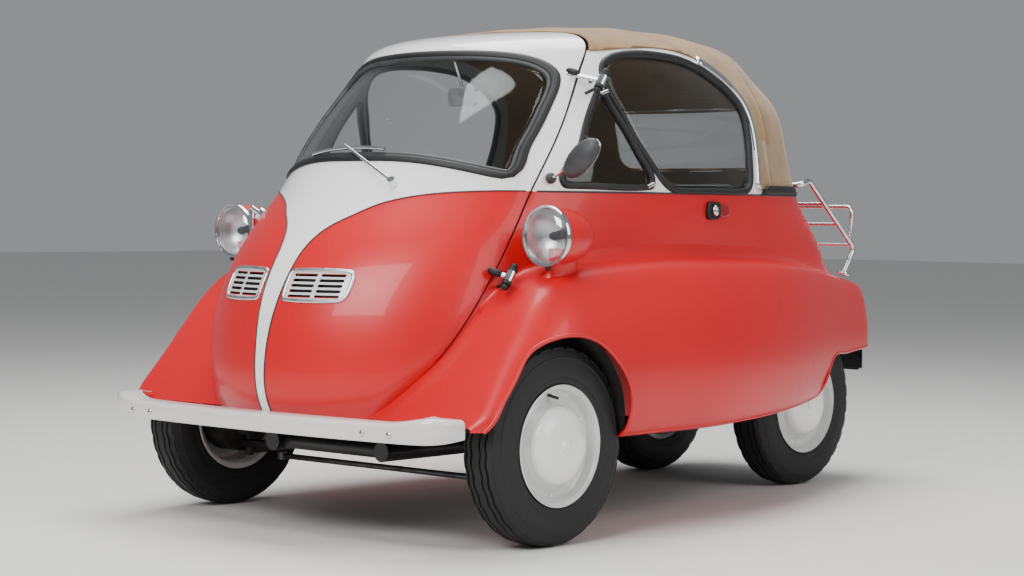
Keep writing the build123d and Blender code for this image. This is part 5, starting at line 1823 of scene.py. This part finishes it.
@dataclass
class Headlamps:
    """Bullet lamps on short feet: red shell, slim rim, silvered bowl, bulb and domed lens."""

    paint: Finishes
    centre: Triple = (0.5725, -0.683, 0.755)
    radius: float = 0.072
    foot: tuple[tuple[float, ...], ...] = (
        (0.0, 0.06, -0.03, 0.046, 0.03), (-0.004, 0.062, -0.06, 0.045, 0.026),
        (-0.01, 0.066, -0.085, 0.05, 0.025), (-0.016, 0.07, -0.102, 0.062, 0.032),
        (-0.02, 0.072, -0.12, 0.074, 0.044))

    def build(self) -> None:
        """Make both lamps."""
        shells, rims, bowls, lenses, knobs = [], [], [], [], []
        for side in SIDES:
            c = Vector((side * self.centre[0], *self.centre[1:]))
            r = self.radius
            shell = [(r - 0.003, 0.0), (r, 0.001), (r * 0.998, 0.02), (r * 0.985, 0.045), (r * 0.93, 0.075),
                     (r * 0.82, 0.1), (r * 0.62, 0.125), (r * 0.36, 0.143), (r * 0.14, 0.149), (0.0, 0.15),
                     (0.0, 0.146), (r * 0.55, 0.122), (r * 0.88, 0.075), (r - 0.003, 0.03), (r - 0.003, 0.0)]
            shells.append(turned("shell", shell, c, (0, 1, 0), 64))
            foot = [(c + Vector((side * u, y, z)), long, wide) for u, y, z, long, wide in self.foot]
            shells.append(swelled("foot", foot, (0, 1, 0), (1, 0, 0), 28))
            rim = [(r - 0.004, 0.004), (r - 0.005, -0.005), (r - 0.002, -0.0105), (r + 0.002, -0.011),
                   (r + 0.0042, -0.007), (r + 0.004, 0.001), (r + 0.001, 0.006), (r - 0.004, 0.004)]
            rims.append(turned("rim", rim, c, (0, 1, 0), 72))
            bowl = [(r - 0.005, -0.003), (r * 0.86, 0.018), (r * 0.66, 0.038), (r * 0.36, 0.051), (0.0, 0.056),
                    (0.0, 0.058), (r * 0.38, 0.053), (r * 0.7, 0.039), (r * 0.9, 0.018), (r - 0.0035, -0.002),
                    (r - 0.005, -0.003)]
            bowls.append(turned("bowl", bowl, c, (0, 1, 0), 56))
            knobs.append(turned("bulb", [(0.0, 0.012), (0.008, 0.014), (0.0115, 0.022), (0.0115, 0.04), (0.015, 0.043),
                                         (0.015, 0.055), (0.0, 0.055)], c, (0, 1, 0), 24))
            lens = [(r - 0.0045, -0.004), (r * 0.88, -0.011), (r * 0.7, -0.0165), (r * 0.45, -0.021),
                    (r * 0.2, -0.0232), (0.0, -0.024), (0.0, -0.0215), (r * 0.2, -0.0208), (r * 0.45, -0.0186),
                    (r * 0.7, -0.014), (r * 0.87, -0.0085), (r - 0.0065, -0.003), (r - 0.0045, -0.004)]
            lenses.append(turned("lens", lens, c, (0, 1, 0), 64))
            knobs.append(turned("knob", [(0.0, 0.0), (0.006, 0.0), (0.0075, 0.003), (0.0075, 0.009), (0.0, 0.009)],
                                c + Vector((side * 0.006, -0.01, -r - 0.004)), (0, 1, 0), 16))
        for parts, name, finish, slot, nodes in (
            (shells, "headlamp_shells", self.paint.red, "paint_red", ("headlamp_housings",)),
            (rims, "headlamp_slim_rims", self.paint.chrome, "chrome", ("headlamp_rims",)),
            (bowls, "headlamp_bowls", self.paint.reflector, "chrome", ()),
            (knobs, "headlamp_bulbs", self.paint.rubber, "rubber", ()),
            (lenses, "headlamp_domed_lenses", self.paint.lens, "glass", ("headlamp_lenses",)),
        ):
            fit(parts, name, finish, "body", slot, *nodes)


@dataclass
class Bumper:
    """Pressed front bumper with a rolled top flange and its bolts."""

    paint: Finishes
    half_path: tuple[Pair, ...] = ((0.0, -1.15), (0.18, -1.1465), (0.35, -1.1365), (0.47, -1.1235), (0.53, -1.112),
                                   (0.572, -1.0935), (0.5955, -1.066), (0.602, -1.03), (0.602, -1.006))
    section: tuple[Pair, ...] = ((0.002, 0.271), (0.0, 0.274), (0.0, 0.303), (0.0016, 0.309), (0.006, 0.314),
                                 (0.013, 0.3165), (0.046, 0.318), (0.046, 0.316), (0.014, 0.314),
                                 (0.0075, 0.3115), (0.004, 0.307), (0.0028, 0.302), (0.0028, 0.272))
    bolts: tuple[float, ...] = (-0.468, -0.389, 0.389, 0.468)

    def build(self) -> None:
        """Make the bumper and its bolts."""
        whole = [*mirrored(self.half_path[::-1]), *self.half_path[1:]]
        path = along(whole, 110)
        inward = left_of(np.gradient(path, axis=0))
        share = np.abs(path[:, 0]) / self.half_path[-1][0]
        # From 72 % of the half width the flange deepens and rises round the corner.
        ramp = np.clip((share - 0.72) / 0.28, 0, 1)
        end = ramp**2 * (3 - 2 * ramp)
        back = np.clip((path[:, 1] + 1.1) / 0.1, 0, 1)
        lines = []
        for depth, height in self.section:
            reach = depth * (1 + 0.45 * end) if depth > 0.02 else np.full(len(path), depth)
            rise = 0.018 * end - 0.008 * back if height > 0.29 else 0.01 * back
            place = path + inward * np.reshape(reach, (-1, 1))
            lines.append(np.concatenate([place, (height + rise)[:, None]], 1))
        bar = crisp(recalculated(lofted("bar", lines, False)), 50)
        fit([bar], "front_bumper_pressed", self.paint.cream, "body", "paint_cream", "front_bumper")
        bolts = []
        for x in self.bolts:
            y = float(np.interp(x, path[:, 0], path[:, 1]))
            bolts.append(turned("bolt", [(0.0, 0.0), (0.0045, 0.0006), (0.0075, 0.0026), (0.0085, 0.0048),
                                         (0.0085, 0.006), (0.0, 0.006)], (x, y - 0.0054, 0.29), (0, 1, 0), 20))
        fit(bolts, "front_bumper_bolts", self.paint.chrome, "body", "chrome")


@dataclass
class Fittings:
    """Outside mirror, side and tail lamps, hinge caps and the plate.

    A row of the mirror's shell is its place along it, its half depth and its half height.
    """

    paint: Finishes
    mirror_foot: Triple = (0.461, -0.545, 0.899)
    mirror_head: Triple = (0.592, -0.577, 0.948)
    mirror: tuple[Triple, ...] = (
        (-0.06, 0.006, 0.008), (-0.056, 0.012, 0.018), (-0.042, 0.016, 0.031), (-0.02, 0.018, 0.039),
        (0.005, 0.018, 0.041), (0.03, 0.0165, 0.036), (0.048, 0.013, 0.026), (0.058, 0.008, 0.014),
        (0.061, 0.003, 0.006))
    tail_lamp: Triple = (0.215, 1.126, 0.468)
    hinges_x: float = 0.5
    hinges_z: Pair = (1.15, 0.655)
    plate_y: Pair = (1.1445, 1.1465)

    def build(self) -> None:
        """Make the fittings."""
        self.build_mirror()
        self.build_lamps()
        self.build_hinge_caps()
        self.build_plate()

    def build_mirror(self) -> None:
        """Make the mirror's ball foot, bright arm, dark shell and glass."""
        foot, head = Vector(self.mirror_foot), Vector(self.mirror_head)
        ball = turned("ball", [(0.0, -0.012), (0.008, -0.01), (0.013, -0.003), (0.0145, 0.004), (0.013, 0.01),
                               (0.008, 0.0145), (0.0, 0.016)], foot, (0.85, -0.5, 0.05), 28)
        arm = tube("arm", [foot, foot + Vector((0.03, -0.018, 0.004)), foot + Vector((0.07, -0.026, 0.02)),
                           head - Vector((0.03, 0.0, 0.012)), head], 0.0042, smooth=True, sides=4)
        across = Vector((0.7, 0.12, 0.7)).normalized()
        upright = across.cross(Vector((0, 1, 0))).normalized()
        shell = swelled("shell", [(head + across * far + Vector((0, -0.004, 0)), deep, tall * 0.85)
                                  for far, deep, tall in self.mirror], (0, 1, 0), upright, 32)
        cut(shell, block((0.45, 0.75), (head.y + 0.006, head.y + 0.2), (0.8, 1.1)))
        crisp(shell, 45)
        rows = [(head + across * far + Vector((0, 0.0072, 0)), 0.0014, max(tall * 0.85 - 0.004, 0.003))
                for far, _, tall in self.mirror[1:-1]]
        glass = swelled("glass", rows, (0, 1, 0), upright, 28)
        fit([shell, ball], "mirror_shell", self.paint.grey_rubber, "body", "rubber", "outside_mirror")
        fit([arm], "mirror_arm", self.paint.chrome, "body", "chrome")
        fit([glass], "mirror_glass", self.paint.reflector, "body", "chrome")

    def build_lamps(self) -> None:
        """Make the side fittings and the tail lamps with bases, bright parts and lenses."""
        bases, bright, red = [], [], []
        for side in SIDES:
            edge = even(rounded(corners(0.018, 0.074, 0.8, 0.843), 0.01), 60)
            bases.append(pane("base", Along.X, edge, side, 0.006, 0.006, 5))
            section = ((-0.002, 0.0), (-0.001, 0.0085), (0.003, 0.0105), (0.007, 0.0075), (0.006, 0.0))
            bases.append(gasket("rim", Along.X, edge, section, side))
            place, normal = on_hull(Along.X, 0.046, 0.8215, side)
            bright.append(swelled("upright", [(place + normal * far, long, tall) for far, long, tall in (
                (0.004, 0.011, 0.016), (0.012, 0.0105, 0.0155), (0.017, 0.008, 0.012), (0.019, 0.004, 0.006))],
                (0, 1, 0), (0, 0, 1), 24))
            lamp = even(rounded(corners(0.07, 0.118, 0.806, 0.837), 0.013), 60)
            red.append(pane("lamp", Along.X, lamp, side, 0.009, 0.009, 6))
            back = (side * self.tail_lamp[0], *self.tail_lamp[1:])
            bases.append(turned("base", [(0.0, 0.0), (0.036, 0.0), (0.037, -0.003), (0.036, -0.03), (0.0, -0.03)],
                                back, (0, 1, 0), 40))
            bright.append(turned("ring", [(0.031, 0.0), (0.036, 0.0), (0.0375, 0.003), (0.036, 0.008), (0.032, 0.01),
                                          (0.03, 0.006), (0.031, 0.0)], back, (0, 1, 0), 48))
            red.append(turned("glass", [(0.0, 0.0), (0.031, 0.0), (0.031, 0.008), (0.027, 0.014), (0.018, 0.0175),
                                        (0.008, 0.019), (0.0, 0.0193)], back, (0, 1, 0), 40))
        for parts, name, finish, slot, nodes in ((bases, "lamp_bases", self.paint.rubber, "rubber", ("small_lamps",)),
                                                 (bright, "lamp_bright_parts", self.paint.chrome, "chrome", ()),
                                                 (red, "lamp_red_lenses", self.paint.red_lamp, "lamp_red", ())):
            fit(parts, name, finish, "body", slot, *nodes)

    def build_hinge_caps(self) -> None:
        """Make the black bullet caps over the hinges' ends."""
        places = [v.co.copy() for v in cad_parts["hinges_door_side"].data.vertices]
        turn = math.radians(SEAM.lean)
        lean = Vector((0, math.sin(turn), math.cos(turn)))
        caps: list[Piece] = []
        bullets: list[Piece] = []
        for z in self.hinges_z:
            axis = Vector((self.hinges_x, SEAM.y(z), z))
            for way in SIDES:
                caps.append(turned("cap", [(0.0, 0.0), (0.0095, 0.0), (0.0098, 0.003), (0.0085, 0.008), (0.005, 0.0115),
                                           (0.0, 0.013)], axis + lean * way * 0.026, lean * way, 20))
            tip = max((p for p in places if abs(p.z - z) < 0.15), key=lambda p: (p - axis).length)
            arm = (axis - tip).normalized()
            bullets.append(swelled("bullet", [(tip + arm * far, wide, wide * 0.8) for far, wide in (
                (-0.004, 0.003), (-0.001, 0.0075), (0.006, 0.011), (0.018, 0.012), (0.028, 0.0105), (0.034, 0.007))],
                arm.cross(lean), lean, 20))
        fit(caps, "hinge_pin_caps", self.paint.rubber, "body", "rubber")
        fit(bullets, "hinge_bullets", self.paint.rubber, "door", "rubber")

    def build_plate(self) -> None:
        """Make the bare rear plate with its rolled edge on two screws."""
        plate = prism(rounded(corners(-0.14, 0.14, 0.418, 0.518), 0.01), Along.Y, *self.plate_y)
        modify(plate, "BEVEL", width=0.0006, segments=2)
        screws = [turned("screw", [(0.0, 0.0), (0.006, 0.0), (0.0058, 0.0016), (0.0035, 0.0026), (0.0, 0.0028)],
                         (x, self.plate_y[1], 0.468), (0, 1, 0), 18) for x in (-0.09, 0.09)]
        fit([plate], "rear_plate", self.paint.white, "body", "paint_cream")
        fit(screws, "rear_plate_screws", self.paint.alloy, "body", "steel")


def bent(points: Sequence[Sequence[float]], radius: float, steps: int = 7) -> list[Vector]:
    """Round the inner corners of an open run, as a tube is bent.

    Args:
        points: The run's corners.
        radius: Radius of each bend.
        steps: Points in each bend.

    Returns:
        The run with its bends.
    """
    rows = [Vector(point) for point in points]
    made = [rows[0]]
    for before, here, after in zip(rows, rows[1:], rows[2:]):
        made += rounding(before, here, after, radius, steps)
    return [*made, rows[-1]]


@dataclass
class Rack:
    """The tubular luggage rack: a leaning hoop, an upright hoop, cross rails and feet."""

    paint: Finishes
    half: float = 0.35

    def build(self) -> None:
        """Make the rack."""
        x = self.half
        leaning = [(x, 0.955, 0.632), (x, 1.013, 0.712), (x, 0.765, 0.915), (x, 0.715, 0.9), (-x, 0.715, 0.9),
                   (-x, 0.765, 0.915), (-x, 1.013, 0.712), (-x, 0.955, 0.632)]
        upright = [(x, 0.99, 0.735), (x, 1.0, 0.838), (-x, 1.0, 0.838), (-x, 0.99, 0.735)]
        parts = [tube("leaning", bent(leaning, 0.022), 0.0085, sides=5),
                 tube("upright", bent(upright, 0.02), 0.0065, sides=5)]
        for y, z in ((1.0, 0.722), (0.925, 0.785), (0.85, 0.846)):
            parts.append(tube("rail", [(-x, y, z), (x, y, z)], 0.0055, sides=4))
        for side in SIDES:
            parts.append(tube("stay", [(side * 0.2, 0.735, 0.902), (side * 0.2, 0.728, 0.84)], 0.005, sides=4))
            parts.append(turned("foot", [(0.0, 0.004), (0.019, 0.004), (0.02, 0.001), (0.019, -0.004), (0.0, -0.004)],
                                (side * x, 0.955, 0.634), (0.15 * side, 0.25, 1.0), 28))
        fit(parts, "luggage_rack_tubes", self.paint.chrome, "body", "chrome", "luggage_rack")


@dataclass
class CarriedOver:
    """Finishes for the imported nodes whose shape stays."""

    paint: Finishes

    def build(self) -> None:
        """Dress every node that no piece replaces."""
        chosen = {
            "floor_panel": self.paint.mat, "chassis_frame": self.paint.black, "front_axle_beam": self.paint.black,
            "knuckle_left": self.paint.iron, "knuckle_right": self.paint.iron, "tie_rod": self.paint.steel,
            "rear_axle": self.paint.iron, "engine_block": self.paint.engine, "silencer": self.paint.steel,
            "seat_base": self.paint.inside, "steering_column": self.paint.black, "rear_bumper": self.paint.alloy,
            "hinges_door_side": self.paint.chrome, "hinges_body_side": self.paint.rubber,
            "wiper": self.paint.chrome, "interior_mirror": self.paint.chrome, "door_handle": self.paint.chrome,
        }
        for name, finish in chosen.items():
            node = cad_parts[name]
            for slot in node.material_slots:
                slot.material = finish
            LOG.info("%s: dressed with %s", name, finish.name)


# ---------------------------------------------------------------- inside the cabin
@dataclass
class Pad:
    """One padded part of the bench, swollen as cloth over its stuffing and sewn in channels."""

    node: str
    name: str
    voxel: float = 0.008
    slack: float = 0.006
    pressure: float = 4.0
    reach: float = 0.012
    channel: float = 0.098
    groove: float = 0.006
    under: float = 0.002
    over: float = 0.004

    def build(self, finish: bpy.types.Material) -> None:
        """Make the pad from its node's shape.

        Args:
            finish: The covering.
        """
        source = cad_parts[self.node]
        piece = recalculated(copied(source, self.name))
        modify(piece, "DISPLACE", strength=-self.slack, mid_level=0.0)
        modify(piece, "REMESH", mode="VOXEL", voxel_size=self.voxel, adaptivity=0.0)
        modify(piece, "SMOOTH", factor=0.5, iterations=3)
        self.swell(piece)
        for vertex in piece.data.vertices:
            across = (vertex.co.x / self.channel + 0.5) % 1 - 0.5
            depth = math.exp(-((across * self.channel / 0.007) ** 2))
            side = vertex.normal
            if side.z > 0.5 or side.y < -0.5:
                vertex.co -= side * self.groove * depth
            edge = 1 - min(1.0, abs(abs(vertex.co.x) - 0.425) / 0.008)
            if edge > 0:
                vertex.co.x -= math.copysign(0.0015 * edge, vertex.co.x)
        modify(piece, "SUBSURF", levels=1, render_levels=1)
        self.hold_in(piece)
        piece.data.shade_smooth()
        fit([piece], self.name, finish, "body", "upholstery", self.node)

    def swell(self, piece: Piece) -> None:
        """Inflate the cover by a cloth run and cap how far it moves.

        Args:
            piece: The cover.
        """
        before = np.array([v.co for v in piece.data.vertices])
        cloth = piece.modifiers.new("stuffing", "CLOTH")
        cloth.settings.use_pressure = True
        cloth.settings.uniform_pressure_force = self.pressure
        cloth.settings.effector_weights.gravity = 0.0
        cloth.settings.quality = 4
        cloth.point_cache.frame_start, cloth.point_cache.frame_end = 1, 20
        for step in range(1, 21):
            bpy.context.scene.frame_set(step)
        select_only(piece)
        bpy.ops.object.modifier_apply(modifier="stuffing")
        bpy.context.scene.frame_set(1)
        move = np.array([v.co for v in piece.data.vertices]) - before
        far = np.linalg.norm(move, axis=1, keepdims=True)
        move *= np.minimum(1.0, self.reach / np.maximum(far, 1e-9))
        piece.data.vertices.foreach_set("co", (before + move).ravel())

    def hold_in(self, piece: Piece) -> None:
        """Keep the pad in its solid's box, flat where it rests.

        Args:
            piece: The pad.
        """
        low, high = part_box(self.node)
        for vertex in piece.data.vertices:
            inside = zip(vertex.co, low, high, strict=True)
            vertex.co = Vector([min(max(c, a - self.under), b + self.over) for c, a, b in inside])
            if self.node == "seat_cushion":
                vertex.co.z = max(vertex.co.z, low[2] + 0.0005)


@dataclass
class SteeringWheel:
    """Ivory wheel with two dished spokes and a round horn button."""

    paint: Finishes
    hub: Triple = (0.17, -0.43, 0.745)
    foot: Triple = (0.17, -0.82, 0.4)
    radius: float = 0.2
    grip: float = 0.0105
    dial: Triple = (-0.005, -0.66, 0.8)
    dial_way: Triple = (0.05, 0.86, 0.5)

    def build(self) -> None:
        """Make the wheel and the dial beside it."""
        hub = Vector(self.hub)
        way = (hub - Vector(self.foot)).normalized()
        turns = np.linspace(0, 2 * math.pi, 17)
        ring_section = [(self.radius + self.grip * math.cos(t), self.grip * math.sin(t)) for t in turns]
        parts = [turned("rim", ring_section, hub, way, 96)]
        side = Vector((1, 0, 0))
        up = way.cross(side).normalized()
        for sign in SIDES:
            spoke = [(hub + side * sign * far - way * dish + up * drop, wide, thin) for far, dish, drop, wide, thin in (
                (0.018, 0.016, 0.0, 0.017, 0.005), (0.06, 0.018, -0.006, 0.014, 0.0042),
                (0.12, 0.012, -0.016, 0.011, 0.0038), (0.17, 0.005, -0.026, 0.01, 0.0036),
                (0.192, 0.001, -0.032, 0.011, 0.005))]
            parts.append(swelled("spoke", spoke, up, way, 16))
        parts.append(turned("boss", [(0.0, -0.022), (0.03, -0.022), (0.034, -0.014), (0.034, 0.002), (0.03, 0.009),
                                     (0.024, 0.0115), (0.0235, 0.0095), (0.0, 0.0095)], hub, way, 40))
        fit(parts, "steering_wheel_moulded", self.paint.ivory, "steering_wheel", "cream_plastic", "steering_wheel")
        button = turned("horn_button", [(0.0, 0.0098), (0.0225, 0.0098), (0.0225, 0.0125), (0.017, 0.0155),
                                        (0.008, 0.0172), (0.0, 0.0176)], hub, way, 32)
        shaft = tube("upper_shaft", [hub - way * 0.02, hub - way * 0.115], 0.009, sides=5)
        fit([button, shaft], "steering_horn_button", self.paint.chrome, "steering_wheel", "chrome")
        dial, face = Vector(self.dial), Vector(self.dial_way).normalized()
        pod = turned("dial_pod", [(0.0, -0.075), (0.02, -0.072), (0.038, -0.05), (0.044, -0.015), (0.046, 0.0),
                                  (0.0455, 0.004), (0.041, 0.006), (0.039, 0.001), (0.0, 0.001)], dial, face, 48)
        fit([pod], "dial_pod", self.paint.black, "door", "paint_black")
        plate = turned("dial_face", [(0.0, 0.0012), (0.0385, 0.0012), (0.0385, 0.0022), (0.012, 0.0022),
                                     (0.01, 0.0034), (0.0, 0.0036)], dial, face, 40)
        fit([plate], "dial_face", self.paint.ivory, "door", "cream_plastic")


@dataclass
class CabinFloor:
    """Ribbed mat, pedals, gear and brake levers, and the door pull."""

    paint: Finishes
    mat_x: float = 0.285
    mat_y: Pair = (-0.6, -0.035)
    mat_z: float = 0.2775
    pedals: Triple = (0.085, 0.165, 0.245)

    def build(self) -> None:
        """Make the floor's pieces."""
        across = np.linspace(-self.mat_x, self.mat_x, 229)
        # Flat-topped ribs 20 mm apart and 4.4 mm high.
        rise = 0.0035 + 0.0022 * np.clip(np.sin(across * 2 * math.pi / 0.02) * 1.6, -1, 1)
        points = [(x, y, self.mat_z + h) for y in self.mat_y for x, h in zip(across, rise, strict=True)]
        mat = mesh_piece("mat", points, grid_faces(2, len(across)))
        modify(mat, "SOLIDIFY", thickness=0.0022, offset=-1.0)
        fit([mat], "ribbed_floor_mat", self.paint.rubber, "body", "rubber")
        pads, arms = [], []
        for x in self.pedals:
            head, foot = Vector((x, -0.655, 0.395)), Vector((x, -0.7, 0.29))
            pads.append(swelled("pedal", [(head + Vector((0, far * 0.5, far)), 0.024 - abs(far) * 0.1, 0.005)
                                          for far in (-0.034, -0.03, -0.012, 0.012, 0.03, 0.034)],
                                (1, 0, 0), (0, 0.9, -0.45), 20))
            arms.append(tube("arm", [foot, foot + Vector((0, 0.01, 0.05)), head - Vector((0, 0.006, 0.0))], 0.006,
                             smooth=True))
        lever = [(0.345, -0.1, 0.42), (0.335, -0.11, 0.5), (0.325, -0.14, 0.565)]
        arms.append(tube("lever", lever, 0.0065, smooth=True, sides=4))
        arms.append(tube("brake", [(0.3, 0.02, 0.3), (0.3, -0.04, 0.36), (0.3, -0.1, 0.395)], 0.008, sides=4))
        pads.append(turned("knob", [(0.0, -0.018), (0.01, -0.016), (0.016, -0.006), (0.0175, 0.004), (0.014, 0.014),
                                    (0.006, 0.0185), (0.0, 0.019)], lever[-1], (-0.1, -0.35, 0.9), 28))
        for parts, name, finish, slot in ((pads, "pedal_pads", self.paint.rubber, "rubber"),
                                          (arms, "pedal_arms", self.paint.black, "paint_black")):
            fit(parts, name, finish, "body", slot)
        rail = [(-0.34, -0.8, 0.7), (-0.3, -0.775, 0.712), (-0.2, -0.79, 0.716), (-0.1, -0.8, 0.716),
                (-0.05, -0.8, 0.712), (-0.02, -0.835, 0.7)]
        pull = tube("door_pull", rail, 0.008, smooth=True, sides=4)
        fit([pull], "door_pull", self.paint.chrome, "door", "chrome")


@dataclass
class Bench:
    """The seat cushion and the backrest."""

    paint: Finishes

    def build(self) -> None:
        """Make both pads."""
        Pad("seat_cushion", "seat_cushion_padded").build(self.paint.seat)
        Pad("seat_back", "seat_back_padded").build(self.paint.seat)


# ---------------------------------------------------------------- studio
@dataclass
class Studio:
    """Pale floor, soft lights and the camera."""

    azimuth: float = 41.6563
    elevation: float = 1.9261
    roll: float = 0.4907
    distance: float = 6.5157
    lens: float = 79.54
    target: Triple = (-0.1503, 0.0, 0.5946)

    def place_camera(self) -> None:
        """Put the camera where the car is seen from its front left corner."""
        az, el, roll = (math.radians(a) for a in (self.azimuth, self.elevation, self.roll))
        back = Vector((math.sin(az) * math.cos(el), -math.cos(az) * math.cos(el), math.sin(el)))
        across = Vector((0, 0, 1)).cross(back).normalized()
        up = back.cross(across)
        x_axis = math.cos(roll) * across + math.sin(roll) * up
        y_axis = -math.sin(roll) * across + math.cos(roll) * up
        data = bpy.data.cameras.new("camera")
        data.lens = self.lens
        data.sensor_width = 36.0
        data.clip_end = 60.0
        camera = bpy.data.objects.new("camera", data)
        matrix = Matrix((x_axis, y_axis, back)).transposed().to_4x4()
        matrix.translation = Vector(self.target) + back * self.distance
        camera.matrix_world = matrix
        bpy.context.scene.collection.objects.link(camera)
        bpy.context.scene.camera = camera

    def place_lights(self) -> None:
        """Hang soft area lights round the car."""
        for name, spot, power, size in (
            ("key", (1.2, -5.0, 4.2), 330.0, 3.0),
            ("fill", (5.5, 0.5, 3.0), 130.0, 3.5),
            ("top", (-0.5, 0.6, 5.0), 300.0, 3.5),
        ):
            bpy.ops.object.light_add(type="AREA", location=spot)
            lamp = bpy.context.object
            lamp.name = name
            lamp.data.energy = power
            lamp.data.size = size
            lamp.rotation_euler = (Vector((0, 0, 0.6)) - Vector(spot)).to_track_quat("-Z", "Y").to_euler()
        world = bpy.data.worlds.new("studio_air")
        world.use_nodes = True
        world.node_tree.nodes["Background"].inputs[0].default_value = (0.8, 0.82, 0.85, 1)
        world.node_tree.nodes["Background"].inputs[1].default_value = 0.36
        bpy.context.scene.world = world

    def lay_floor(self) -> None:
        """Lay the plain pale floor."""
        bpy.ops.mesh.primitive_plane_add(size=60.0)
        floor = bpy.context.object
        floor.name = "studio_floor"
        paint = Shader("pale_studio_floor")
        # Faint scuffs about 300 mm across.
        scuffs = paint.node("ShaderNodeTexNoise", {"Vector": paint.place, "Scale": 1000 / 300, "Detail": 3.0})
        rough = paint.node("ShaderNodeMapRange", {0: scuffs, 3: 0.62, 4: 0.72})
        dress(floor, paint.shade(Base_Color=linear("E2E1DE"), Roughness=rough))


PARTS = (Coachwork, Trim, Glazing, Hood, Wheels, Headlamps, Bumper, Fittings, Rack,
         SteeringWheel, CabinFloor, Bench, CarriedOver)


def main() -> None:
    """Build the car's looks in order."""
    logging.basicConfig(level=logging.INFO)
    studio = Studio()
    studio.place_camera()
    studio.place_lights()
    studio.lay_floor()
    finishes = Finishes()
    for part in PARTS:
        part(finishes).build()


if __name__ == "__main__":
    main()
